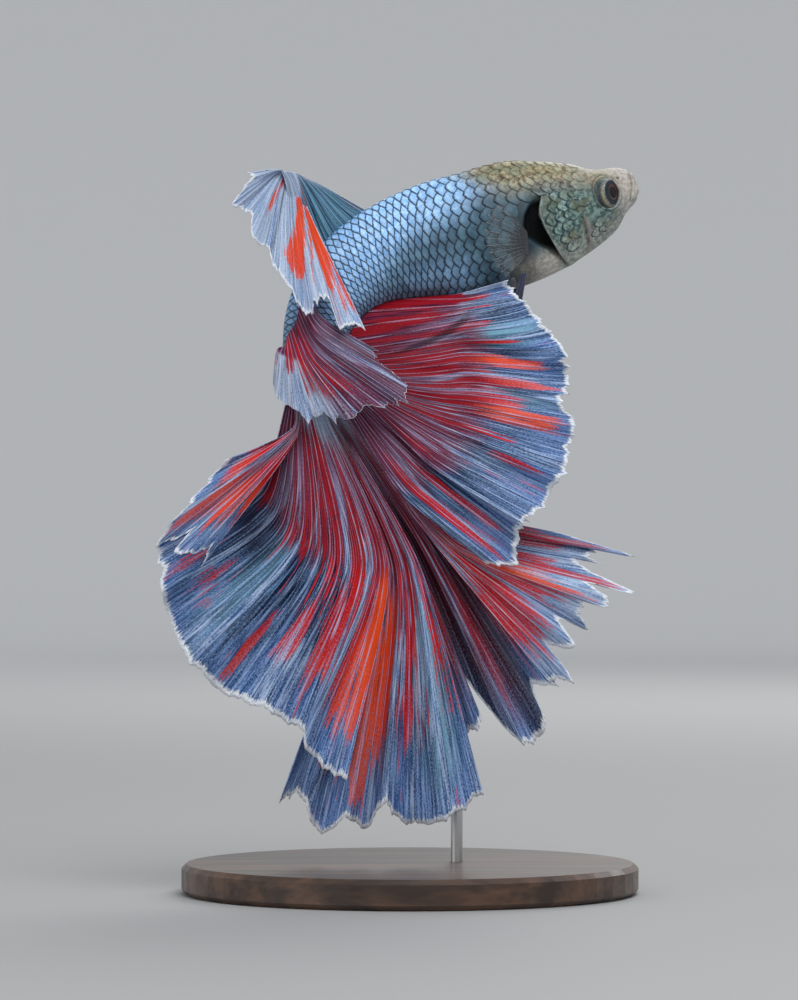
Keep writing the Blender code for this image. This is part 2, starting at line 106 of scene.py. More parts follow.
def through(keys, values, at):
    """Smooth values at places `at`, on a curve through `values` at `keys`."""
    keys, values = np.asarray(keys, float), np.asarray(values, float)
    slopes = np.gradient(values, keys, axis=0)
    at = np.clip(np.asarray(at, float), keys[0], keys[-1])
    span = np.clip(np.searchsorted(keys, at, side="right") - 1, 0, len(keys) - 2)
    width = (keys[span + 1] - keys[span])[:, None]
    t = (at - keys[span]) / width[:, 0]
    return hermite(values[span], values[span + 1], slopes[span] * width, slopes[span + 1] * width, t)


def hermite(start, end, leave, arrive, t):
    """The smooth curve from start to end with the given tangents there."""
    t = t[:, None]
    return (
        (2 * t**3 - 3 * t**2 + 1) * start
        + (t**3 - 2 * t**2 + t) * leave
        + (3 * t**2 - 2 * t**3) * end
        + (t**3 - t**2) * arrive
    )


def rise(low, high, x):
    """0 up to low, 1 from high on and smooth between."""
    t = np.clip((np.asarray(x, float) - low) / (high - low), 0, 1)
    return t * t * (3 - 2 * t)


def fall(low, high, x):
    return 1 - rise(low, high, x)


def ridge(x, middle, width):
    """1 at the middle, falling softly to 0 over a few widths."""
    return np.exp(-(((x - middle) / width) ** 2))


def unit(vectors):
    return vectors / np.linalg.norm(vectors, axis=-1, keepdims=True)


def smoothly(rows, u):
    """Values at u of a smooth curve through rows that stand evenly from 0 to 1."""
    return through(np.linspace(0, 1, len(rows)), rows, u).T


def straight(rows, u):
    """Values at u of straight lines between rows that stand evenly from 0 to 1."""
    return np.array([np.interp(u, np.linspace(0, 1, len(rows)), column) for column in np.array(rows).T])


def wander(x, seed, amount=1.0):
    """A smooth random wave of x, between -amount and amount, with one swing or so to each step of 1."""
    ticks = np.random.default_rng(seed).uniform(-1, 1, 400)
    at = np.asarray(x, float) % 400
    low = np.floor(at).astype(int)
    return amount * (ticks[low] + (ticks[(low + 1) % 400] - ticks[low]) * rise(0, 1, at - low))


# --- the body's shape ---


class Spine:
    """The line through STATIONS by its share from the snout, 0, to the root of the tail fin, 1."""

    def __init__(self, samples=400):
        keys = np.arange(len(STATIONS))
        self.rows = through(keys, STATIONS, np.linspace(0, keys[-1], samples)) * UNIT
        steps = np.linalg.norm(np.diff(self.rows[:, :3], axis=0), axis=1)
        self.shares = np.concatenate([[0], np.cumsum(steps)]) / steps.sum()

    def row(self, share):
        return np.stack([np.interp(share, self.shares, column) for column in self.rows.T], axis=-1)

    def frame(self, share):
        """The axis point and the directions to the head, the right side and the back at each share."""
        step = 0.01
        ahead, behind = self.row(np.maximum(share - step, 0)), self.row(np.minimum(share + step, 1))
        forward = unit(ahead[:, :3] - behind[:, :3])
        shown = np.array([0.0, -1.0, 0.0])
        right = unit(shown - (forward @ shown)[:, None] * forward)
        back = np.cross(right, forward)
        lean = np.radians(TAIL_LEAN * rise(LEAN_FROM, 1, share))[:, None]
        leaning_back = back * np.cos(lean) + right * np.sin(lean)
        return self.row(share)[:, :3], forward, np.cross(forward, leaning_back), leaning_back

    def place(self, share):
        """The same at one share."""
        return [row[0] for row in self.frame(np.array([share]))]


SPINE = Spine()


def body_points(share, around, lift=0.0):
    """Points on the body at degrees round from the back, lifted off it by `lift` metres."""
    share, around = np.broadcast_arrays(np.atleast_1d(np.asarray(share, float)), np.asarray(around, float))
    axis, _, right, back = SPINE.frame(share)
    top, bottom, half = (SPINE.row(share)[:, 3:] + np.reshape(lift, (-1, 1))).T
    angle = np.radians(around)
    keel = 1 + 0.18 * rise(90, 180, np.abs(around))  # the belly is narrower than the back
    side = half * np.sign(np.sin(angle)) * np.abs(np.sin(angle)) ** keel
    height = np.where(np.cos(angle) > 0, top, bottom) * np.cos(angle)
    return axis + right * side[:, None] + back * height[:, None]


def behind(line, share, around):
    """How far behind a line of the head a place lies, in the fish's unit. Ahead of it is below 0."""
    degrees, shares = np.array(line, float).T
    return (share - through(degrees, shares[:, None], np.abs(around))[:, 0]) * LENGTH


def eye_place(side):
    """The middle of an eyeball and the way it looks. side: 1 is the right, -1 the left."""
    axis, forward, right, back = SPINE.place(EYE_SHARE)
    middle = axis + (side * right * EYE_OUT + back * EYE_HEIGHT - forward * EYE_BACK) * UNIT
    return middle, unit(side * right + forward * EYE_FORWARD - back * 0.12), back


def from_eye(share, around):
    """How far a place is from the line through an eye, seen from the side. The socket is a tall oval."""
    _, forward, right, _ = SPINE.place(EYE_SHARE)
    off = body_points(share, np.abs(around)) - eye_place(1)[0]
    out = unit(right + forward * 0.1)
    off = off - (off @ out)[:, None] * out
    off = off + 0.2 * (off @ forward)[:, None] * forward
    return np.linalg.norm(off, axis=1) / UNIT


def gill_cover_share(around):
    """1 where the head has a gill cover, 0 over the back and under the throat."""
    around = np.abs(around)
    return rise(68, 80, around) * fall(158, 174, around)


def gill_gap(level):
    """How wide the opening behind the gill cover is, in the fish's unit."""
    return np.interp(level, *np.array(GILL_GAP).T)


def from_nostril(share, level):
    """How far a place is from its side's nostril, in the fish's unit."""
    return np.hypot((share - NOSTRIL[0]) * LENGTH, np.radians(level - NOSTRIL[1]) * SNOUT_RADIUS)


def on_lips(level):
    """1 over the mouth, 0 below its corners."""
    return fall(127, 138, level)


def on_cheek(level):
    """1 down the side of the cheek, 0 over its top and under it."""
    return rise(58, 72, level) * fall(150, 162, level)


def relief(share, around):
    """How far the skin stands off the plain body, in the fish's unit: sockets, nostrils, mouth, folds and
    the gill covers with the openings behind them."""
    level = np.abs(around)
    lift = np.full(share.shape, -0.1)
    # Eye sockets, each with a rim and a fold round it.
    eye = from_eye(share, level)
    lift += -1.5 * fall(1.47, 1.7, eye) + 0.05 * ridge(eye, 1.76, 0.08)
    lift += -0.08 * ridge(eye, 1.92, 0.07) + 0.04 * ridge(eye, 2.06, 0.12)
    # The brow dips behind a rounded snout.
    lift += (0.36 * ridge(share, 0.035, 0.032) - 0.14 * ridge(share, 0.1, 0.018)) * fall(24, 66, level)
    lift += 0.55 * ridge(share, -0.01, 0.03) * fall(30, 88, level)
    nape = rise(0.05, 0.12, share) * fall(0.28, 0.42, share)
    lift += 0.38 * nape * fall(20, 75, level)
    lift += 0.25 * ridge(share, 0.008, 0.016) * rise(95, 130, level)
    # Nostrils.
    pit = from_nostril(share, level)
    lift += -0.32 * ridge(pit, 0, 0.13) + 0.07 * ridge(pit, 0.29, 0.09)
    # The mouth between its lips.
    mouth = behind(MOUTH, share, level)
    lips = 0.06 * ridge(mouth, -0.25, 0.15) + 0.05 * ridge(mouth, 0.3, 0.2)
    lift += (lips - 0.3 * ridge(mouth, 0, 0.08)) * on_lips(level)
    # A line from the mouth's corner back under the eye.
    jaw = (level - np.interp(share, (0.026, 0.05, 0.09, 0.13), (131, 133, 139, 143))) * 0.05
    lift += -0.1 * ridge(jaw, 0, 0.1) * rise(0.02, 0.03, share) * fall(0.11, 0.14, share)
    # The groove behind the cheek, with a raised strip ahead of it.
    cheek = behind(CHEEK_LINE, share, level)
    lift += (-0.14 * ridge(cheek, 0.05, 0.13) + 0.09 * ridge(cheek, -0.28, 0.2)) * on_cheek(level)
    # The gill cover lifts towards its rear edge. Behind the edge lies the opening, then the shoulder.
    edge = behind(GILL_EDGE, share, level)
    gap = gill_gap(level)
    cover = gill_cover_share(level)
    lift += cover * 0.42 * rise(-2.4, -0.15, edge) * (edge < 0.02)
    lift -= cover * 0.85 * (edge >= 0.02) * fall(gap, gap + 0.55, edge)
    return lift


def tucked(share, around):
    """Shares drawn ahead just behind the edge of the gill cover, so that the skin folds in under it."""
    edge = behind(GILL_EDGE, share, around)
    pull = 0.5 * rise(0.0, 0.16, edge) * fall(0.16, 1.1, edge)
    return share - pull * gill_cover_share(around) / LENGTH


def markings_and_painted_light(share, around):
    """How much of each colour a place on the body has, 0 to 1: bronze, sky blue with painted light, teal,
    cream.
    """
    level = np.abs(around)
    share = np.asarray(share, float)
    # Bronze over the top of the head and nape, reaching down over the brow and fading along the back.
    reach = np.interp(share, (0, 0.05, 0.11, 0.17, 0.24, 0.3, 0.36, 0.46), (120, 84, 66, 60, 58, 62, 44, 14))
    bronze = fall(reach - 16, reach + 20, level) * fall(0.33, 0.47, share)
    # Sky blue high on the flank, brightest where the body turns: the fish's own blue, with painted light that
    # makes the lit upper flank paler than the lower one.
    sky = np.interp(share, (0.3, 0.36, 0.42, 0.48, 0.64, 0.84, 0.9), (0.08, 0.45, 0.85, 1, 1, 0.75, 0.25))
    low = np.interp(share, (0.3, 0.45, 0.55, 0.64, 0.72, 1), (80, 86, 92, 118, 132, 132))
    sky = sky * (1 - np.interp(share, (0.45, 0.6, 0.7), (0.95, 0.8, 0.5)) * rise(low - 34, low + 14, level))
    sky = sky * (1 - 0.8 * rise(50, 66, level) * fall(0.34, 0.44, share))
    low_patch = ridge(level, 130, 20) * rise(0.38, 0.44, share) * fall(0.56, 0.66, share)
    sky = np.maximum(sky, 0.4 * low_patch)
    # Teal on the cheeks and gill covers.
    teal = rise(0.02, 0.09, share) * fall(0.235, 0.27, share) * rise(50, 84, level)
    # Cream on the breast and lips, and a little along the throat.
    breast = rise(118, 140, level) * rise(0.205, 0.23, share) * fall(0.3, 0.34, share)
    chin = 0.85 * fall(0.03, 0.085, share) + 0.4 * ridge(share, 0.11, 0.05) * fall(30, 75, level)
    throat = 0.45 * rise(112, 150, level) * fall(0.2, 0.24, share)
    return np.stack([bronze, sky, teal, np.max([breast, chin, throat], axis=0)], axis=-1)


def shade_blush_and_sheen(share, around):
    """Painted shade in grooves and openings, a blush, and a painted sheen on raised edges, each 0 to 1."""
    level = np.abs(around)
    eye = from_eye(share, level)
    cheek = behind(CHEEK_LINE, share, level)
    # Painted shade along the grooves of the mouth, nostrils, eye fold and cheek.
    line = 0.45 * ridge(behind(MOUTH, share, level), 0.02, 0.06) * on_lips(level)
    line = line + ridge(from_nostril(share, level), 0, 0.13) + 0.6 * ridge(eye, 1.92, 0.07)
    line = line + 0.45 * ridge(cheek, 0.06, 0.15) * on_cheek(level) * rise(80, 104, level)
    edge = behind(GILL_EDGE, share, level)
    gap = gill_gap(level)
    # Painted shade, near black, in the opening behind the gill cover and in the eye socket.
    opening = gill_cover_share(level) * rise(0.0, 0.12, edge) * fall(gap + 0.1, gap + 0.6, edge)
    opening = np.maximum(opening, fall(1.45, 1.62, eye))
    blush = 0.25 * fall(0.03, 0.07, share) * fall(120, 140, level)
    blush = blush + 0.6 * ridge(cheek, -0.25, 0.2) * rise(100, 116, level) * on_cheek(level)
    # A painted sheen along the gill cover's rear edge and the eye socket's rim.
    rim = gill_cover_share(level) * ridge(edge, -0.06, 0.09) + 0.25 * ridge(eye, 1.76, 0.08)
    return np.clip(np.stack([line, opening, blush, rim], axis=-1), 0, 1)


# --- making pieces ---


def started(name):
    """The primitive just added, named and with no map."""
    obj = bpy.context.object
    obj.name = obj.data.name = name
    return obj


def take(obj):
    """Makes a piece the one that the next step works on."""
    obj.select_set(True)
    bpy.context.view_layer.objects.active = obj


def dress(obj, finish):
    """Gives a piece its material and smooth shading."""
    obj.data.materials.append(finish)
    take(obj)
    bpy.ops.object.shade_smooth()


def corners_of(obj):
    places = np.empty(len(obj.data.vertices) * 3, np.float32)
    obj.data.vertices.foreach_get("co", places)
    return places.reshape(-1, 3).astype(float)


def move_corners(obj, places):
    obj.data.vertices.foreach_set("co", np.asarray(places, np.float32).ravel())
    obj.data.update()


def add_ball(name, segments, rings):
    bpy.ops.object.select_all(action="DESELECT")
    bpy.ops.mesh.primitive_uv_sphere_add(segments=segments, ring_count=rings, radius=1, calc_uvs=False)
    return started(name)


def add_grid(name, columns, rows):
    """A grid, and the shares across and along it at its corners."""
    bpy.ops.object.select_all(action="DESELECT")
    bpy.ops.mesh.primitive_grid_add(x_subdivisions=columns, y_subdivisions=rows, size=1, calc_uvs=False)
    obj = started(name)
    u, v, _ = corners_of(obj).T + 0.5
    return obj, u, v


def paint(obj, name, values):
    """Keeps values at a piece's corners, one or four to each, for its material."""
    values = np.asarray(values, np.float32)
    kind, field = ("FLOAT", "value") if values.ndim == 1 else ("FLOAT_COLOR", "color")
    obj.data.attributes.new(name, kind, "POINT").data.foreach_set(field, values.ravel())


def face_ends(obj):
    """The vertex at each corner of each face."""
    ends = np.empty(len(obj.data.loops), np.int32)
    obj.data.loops.foreach_get("vertex_index", ends)
    return ends


def lay_map(obj, name, places):
    """A UV map, from a place for each corner of each face."""
    layer = obj.data.uv_layers.new(name=name)
    layer.data.foreach_set("uv", np.asarray(places, np.float32).ravel())


def face_outwards(obj):
    take(obj)
    bpy.ops.object.mode_set(mode="EDIT")
    bpy.ops.mesh.select_all(action="SELECT")
    bpy.ops.mesh.normals_make_consistent(inside=False)
    bpy.ops.object.mode_set(mode="OBJECT")


def thicken(obj, thickness):
    """Gives a sheet an even wall, half to each side, in metres."""
    wall = obj.modifiers.new("wall", "SOLIDIFY")
    wall.thickness = thickness
    wall.offset = 0
    bpy.context.view_layer.objects.active = obj
    bpy.ops.object.modifier_apply(modifier=wall.name)


def fit(obj, finish, slot, *nodes):
    """Finishes a piece: its material and body, and the solids that it stands for. Its slot is not used."""
    dress(obj, finish)
    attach(obj, "root")
    if nodes:
        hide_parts(*nodes)


# --- skin ---


def paint_body(obj, share, around):
    """Keeps what the materials of the skin and scales need at its corners."""
    paint(obj, "marks", markings_and_painted_light(share, around))
    paint(obj, "shade_blush_and_sheen", shade_blush_and_sheen(share, around))
    paint(obj, "share", share)


def build_skin(finish):
    """One skin from the lips to the root of the tail fin, closed over both ends."""
    segments, rings = 288, 280
    obj = add_ball("skin", segments, rings)
    x, y, z = corners_of(obj).T
    turn = np.arccos(np.clip(z, -1, 1)) / math.pi
    around = np.degrees(np.arctan2(y, x))
    around = np.where(around < -179.9, 180.0, around)
    front, rear = 0.03, 0.98
    share = np.interp(turn, (front, 0.11, 0.66, rear), (0, 0.045, 0.3, 1))
    points = body_points(tucked(share, around), around, relief(share, around) * UNIT)
    # Both ends close over the axis in a shallow dome.
    for end, reach, dome in ((0.0, turn / front, 0.35), (1.0, (1 - turn) / (1 - rear), -0.4)):
        axis, forward, _, _ = SPINE.place(end)
        quarter = np.clip(reach, 0, 1)[:, None] * math.pi / 2
        closed = axis + (points - axis) * np.sin(quarter) + forward * dome * UNIT * np.cos(quarter)
        points = np.where(reach[:, None] < 1, closed, points)
    move_corners(obj, points)
    face_outwards(obj)
    paint_body(obj, share, around)
    # The map unrolls the skin along its belly. A face there keeps to one side, and a face at an end takes the
    # degrees of its lowest corner.
    ends = face_ends(obj)
    starts = np.empty(len(obj.data.polygons), np.int32)
    obj.data.polygons.foreach_get("loop_start", starts)
    owner = np.repeat(np.arange(len(starts)), np.diff(np.append(starts, len(ends))))
    unrolled = around[ends]
    pole = (turn[ends] < 1e-4) | (turn[ends] > 1 - 1e-4)
    lowest = np.minimum.reduceat(np.where(pole, 400, unrolled), starts)[owner]
    unrolled = np.where((unrolled > 179) & (lowest < -90), -180, unrolled)
    middle = np.minimum.reduceat(np.where(pole, 400, unrolled), starts)[owner]
    unrolled = np.where(pole, middle + 180 / segments, unrolled)
    lay_map(obj, "OFBake", np.stack([(unrolled + 180) / 360, 0.01 + 0.98 * turn[ends]], axis=-1))
    head = ("head", "lower_jaw", "gill_cover_right", "gill_cover_left")
    fit(obj, finish, "scaled_skin", *head, "trunk_front", "trunk_rear", "tail_root")


# --- scales ---


class Girth:
    """Places round the body by their share of its girth, from the belly, 0, over the back and round, 1."""

    def __init__(self, shares=241, arounds=361):
        self.shares = np.linspace(0, 1, shares)
        degrees = np.linspace(-180, 180, arounds)
        across, down = np.meshgrid(self.shares, degrees, indexing="ij")
        points = body_points(across.ravel(), down.ravel()).reshape(shares, arounds, 3)
        run = np.cumsum(np.linalg.norm(np.diff(points, axis=1), axis=2), axis=1)
        run = np.concatenate([np.zeros((shares, 1)), run], axis=1)
        self.girth = run[:, -1] / UNIT
        even = np.linspace(0, 1, arounds)
        self.degrees = np.array([np.interp(even, row / row[-1], degrees) for row in run])

    def around(self, share, part):
        """The degrees from the back at a share of the spine and one of the girth."""
        turns = np.floor(part)
        row = np.clip(share, 0, 1) * (len(self.shares) - 1)
        column = (part - turns) * (self.degrees.shape[1] - 1)
        low_row = np.minimum(row.astype(int), self.degrees.shape[0] - 2)
        low_column = np.minimum(column.astype(int), self.degrees.shape[1] - 2)
        down, right = row - low_row, column - low_column

        def along(line):
            return self.degrees[line, low_column] * (1 - right) + self.degrees[line, low_column + 1] * right

        return along(low_row) * (1 - down) + along(low_row + 1) * down + 360 * turns

    def at(self, share):
        return np.interp(share, self.shares, self.girth)


GIRTH = Girth()


def scale_roots(rows, spacing, start, end):
    """Where scales grow in rows along the body: share, row, and the distance to the next in the row. Every
    other row stands half a step on. spacing: that distance at shares of the spine."""
    along = np.linspace(start, end, 600)
    step = np.interp(along, *np.array(spacing).T)
    count = np.concatenate([[0], np.cumsum(np.diff(along) * LENGTH / step[1:])])
    made = []
    for row in range(rows):
        numbers = np.arange(0.5 * (row % 2), count[-1])
        share = np.interp(numbers, count, along)
        made.append(np.stack([share, np.full(share.shape, row), np.interp(share, along, step)], axis=-1))
    return np.concatenate(made)


def build_scales(name, rows, roots, finish, seed, stand=1.0):
    """Overlapping plates as one mesh. Each is domed and rises from its root to a free rear edge, and its rim
    turns down into the skin. stand: how far they stand off it, against the trunk's."""
    chance = np.random.default_rng(seed)
    along = np.array([0, 0.32, 0.62, 0.84, 0.95, 1.0, 1.0])
    across = np.array([-1, -1, -0.72, -0.36, 0, 0.36, 0.72, 1, 1])
    down = np.zeros((len(along), len(across)))
    down[-1, :] = down[:, 0] = down[:, -1] = 1
    # p runs from a plate's root, 0, to its free edge, 1, and q across it, from -1 to 1.
    p, q = [grid.ravel() for grid in np.meshgrid(along, across, indexing="ij")]
    down = down.ravel()
    share, row, step = roots[:, :1], roots[:, 1:2], roots[:, 2:]
    width = GIRTH.at(share) / rows
    tone = chance.uniform(0, 1, share.shape)
    wry = chance.uniform(-0.04, 0.04, share.shape)
    # The plates are round on the head and nape. Towards the tail they are wider and come to a blunt point,
    # so that what shows of each is a tall diamond.
    point = np.interp(share, (0.34, 0.5), (1.7, 1.25))
    cut = np.interp(share, (0.34, 0.5), (0.92, 0.62))
    wide = np.interp(share, (0.34, 0.5), (0.73, 0.98))
    rear = step * (1.2 - cut * np.abs(q) ** point + wry * 2 * q)
    x = (rear + step) * p - step
    y = q * wide * width * (0.8 + 0.2 * np.sqrt(p)) * (1 + wry)
    at = share + x / LENGTH
    around = GIRTH.around(np.clip(at, 0, 1), row / rows + y / GIRTH.at(at))
    lift = -0.1 + (0.2 + 0.03 * (tone - 0.5)) * p + 0.02 * (1 - q**2) - 0.03 * rise(0.9, 1, p)
    lift = lift - 0.07 * rise(0.22, 0.3, share) * rise(0.5, 1, np.abs(q))
    lift = (lift * stand - 0.12 * down) * np.minimum(width / 1.4, 1)
    at, around, lift = np.clip(at, 0, 1).ravel(), around.ravel(), lift.ravel()
    points = body_points(at, around, (relief(at, around) + lift) * UNIT)
    count = len(roots)
    corner = np.arange(len(along) * len(across)).reshape(len(along), len(across))
    face = np.stack([corner[:-1, :-1], corner[1:, :-1], corner[1:, 1:], corner[:-1, 1:]], axis=-1)
    faces = (np.arange(count)[:, None, None] * corner.size + face.reshape(-1, 4)).reshape(-1, 4)
    mesh = bpy.data.meshes.new(name)
    mesh.from_pydata(points.tolist(), [], faces.tolist())
    obj = bpy.data.objects.new(name, mesh)
    bpy.context.scene.collection.objects.link(obj)
    bpy.ops.object.select_all(action="DESELECT")
    paint_body(obj, at, around)
    paint(obj, "tone", np.broadcast_to(tone, x.shape).ravel())
    # The plate's own map runs across it and down it. Its rim reaches a little past 0 and 1.
    plate = np.stack([q * 0.5 + 0.5 + 0.02 * np.sign(q) * down, p + 0.02 * down], axis=-1)
    ends = face_ends(obj)
    lay_map(obj, "plate", np.tile(plate, (count, 1))[ends])
    # Each plate's patch lies at its root's place on the unrolled skin, in its own cell of the rows.
    patch_u = (row + 0.5 + (plate[:, 0] - 0.5) * 0.9) / rows
    patch_v = share + (plate[:, 1] - 0.5) * 0.9 * step / LENGTH
    lay_map(obj, "OFBake", np.stack([patch_u.ravel(), 0.02 + 0.96 * patch_v.ravel()], axis=-1)[ends])
    fit(obj, finish, "scaled_skin")


def read_roots(roots, rows):
    """The share, the degrees from the back and the distance to the next scale of each root."""
    share, row, step = roots.T
    return share, np.abs((GIRTH.around(share, row / rows) + 180) % 360 - 180), step


def build_coat(finish):
    """The scales of the trunk and tail, and smaller ones on the cheeks, gill covers and nape."""
    rows = 24
    spacing = ((0.24, 1.12), (0.33, 1.1), (0.42, 1.02), (0.48, 0.88), (0.55, 0.76), (0.62, 0.7), (1.0, 0.6))
    roots = scale_roots(rows, spacing, 0.235, 0.995)
    share, level, _ = read_roots(roots, rows)
    keep = behind(GILL_EDGE, share, level) > gill_gap(level) + 0.8
    keep &= (level < 116) | (share > 0.315)
    keep |= (level < 52) & (share > 0.24)
    build_scales("trunk_scales", rows, roots[keep], finish, seed=3)
    rows = 26
    roots = scale_roots(rows, ((0.09, 0.8), (0.16, 0.92), (0.25, 1.05)), 0.09, 0.245)
    share, level, step = read_roots(roots, rows)
    cheek, edge = behind(CHEEK_LINE, share, level), behind(GILL_EDGE, share, level)
    keep = (from_eye(share, level) > 2.9) & (level < 140)
    keep &= (level < 96) | (cheek > 0.6) | (cheek < -1.2 * step)
    keep &= (level < 64) | (edge < -1.2 * step)
    keep &= (share > 0.125) | (level > 92)
    build_scales("head_scales", rows, roots[keep], finish, stand=0.8, seed=4)


# --- eyes ---


def build_eye(side, label, finish):
    """An eyeball that looks out and ahead, with a flat iris, a domed pupil and a brassy rim."""
    obj = add_ball("eyeball_" + label, 128, 96)
    x, y, z = corners_of(obj).T
    middle, gaze, back = eye_place(side)
    up = unit(back - (back @ gaze) * gaze)
    aside = np.cross(up, gaze)
    off = np.degrees(np.arccos(np.clip(z, -1, 1)))
    flat = np.cos(np.radians(IRIS)) / np.cos(np.radians(np.minimum(off, IRIS)))
    radius = EYE_RADIUS * (flat**0.8 + 0.06 * fall(18, 29, off))
    ways = np.stack([x, y, z], axis=-1) @ np.stack([aside, up, gaze])
    # The back of the ball is flatter, so that the two eyes lie clear of each other.
    out = side * SPINE.place(EYE_SHARE)[2]
    ways = ways - 0.35 * np.minimum(ways @ out, 0)[:, None] * out
    move_corners(obj, middle + ways * radius[:, None] * UNIT)
    face_outwards(obj)
    ahead, above = np.stack([x * side, y]) / np.maximum(np.hypot(x, y), 1e-6)
    oval = off * (1 + 0.1 * ahead**2)
    pupil = fall(27, 29, oval)
    copper = ridge(oval, 33, 3.4) * (0.25 + 0.75 * rise(-0.4, 0.7, ahead * 0.75 + above * 0.65))
    brass = 0.7 * ridge(oval, 30.2, 0.9) * rise(0, 0.8, -above)
    low = rise(-0.1, 0.8, -ahead * 0.75 - above * 0.65)
    brass = np.maximum(brass, ridge(off, 58, 4) * low + 0.6 * ridge(off, 90, 8) * rise(-0.5, 0.5, -above))
    white = rise(IRIS - 2, IRIS + 1, off)
    white = white * (1 - 0.9 * ridge(off, 72, 11) * rise(-0.3, 0.6, -ahead - 0.4 * np.abs(above - 0.1)))
    paint(obj, "iris", np.clip(np.stack([pupil, copper, brass, white], axis=-1), 0, 1))
    paint(obj, "iris_turn", np.degrees(np.arctan2(y, x)) / 360 + 0.5)
    fit(obj, finish, "eye", "eye_" + label)


# --- fins ---


def bent_ray(root, knee, tip, v, bend):
    """Points at share v along rays from root through knee to tip. bend: how round the knee is, 0 to 1."""
    first = np.linalg.norm(knee - root, axis=1)
    second = np.linalg.norm(tip - knee, axis=1)
    split = first / (first + second)
    turn = unit(tip - root) * bend
    near = hermite(root, knee, knee - root, turn * first[:, None], np.clip(v / split, 0, 1))
    rest = np.clip((v - split) / (1 - split), 0, 1)
    far = hermite(knee, tip, turn * second[:, None], tip - knee, rest)
    return np.where((v < split)[:, None], near, far)


def polar(middle, angle, distance, depth):
    """Points at an angle from straight down towards the head, a distance and a depth from middle."""
    angle = np.radians(angle)
    offset = np.stack([np.sin(angle) * distance, depth, -np.cos(angle) * distance], axis=-1)
    return (np.array(middle) + offset) * UNIT


def along_body(start, end, around, crowding=1):
    """A fin's root along the body, a little under the skin. Over 1, crowding draws its rays together."""
    return lambda u: body_points(end + (start - end) * (1 - u) ** crowding, around, -0.35 * UNIT)


def across_tail(start, end, side):
    """A lobe's root over the end of the tail, a little inside it. side: how far to the right."""
    axis, forward, right, back = SPINE.place(1.0)
    height, depth = SPINE.row(1.0)[3:5] * 0.9
    end_face = axis + (forward * 0.6 + right * side) * UNIT
    return lambda u: end_face + back * (height - (height + depth) * (start + (end - start) * u))[:, None]


TINTS = ("red", "orange", "plum", "pale", "dark", "teal")


def tinted(tints, u, v):
    """How much of each tint a fin has. A band is widest halfway along and soft all round."""
    found = {kind: np.zeros(u.shape) for kind in TINTS}
    for kind, bands in tints.items():
        for from_u, from_v, to_u, to_v, half, strength in bands:
            on = np.clip((v - from_v) / (to_v - from_v), 0, 1)
            width = half * (0.35 + 0.65 * (4 * on * (1 - on)) ** 0.5)
            inside = fall(0.3, 1.3, np.abs(u - from_u - (to_u - from_u) * on) / width)
            inside = inside * rise(from_v - 0.1, from_v + 0.1, v) * fall(to_v - 0.12, to_v + 0.06, v)
            found[kind] = np.maximum(found[kind], inside * strength)
    return found


def finish_web(obj, dye, lace_and_shade, rays, thickness):
    """Keeps a web's colours, lays its map in rays and the fish's unit, and gives it a thickness in that."""
    paint(obj, "dye", np.stack(dye, axis=-1))
    paint(obj, "lace_and_shade", np.stack(lace_and_shade, axis=-1))
    lay_map(obj, "rays", np.stack(rays, axis=-1)[face_ends(obj)])
    thicken(obj, thickness * UNIT)


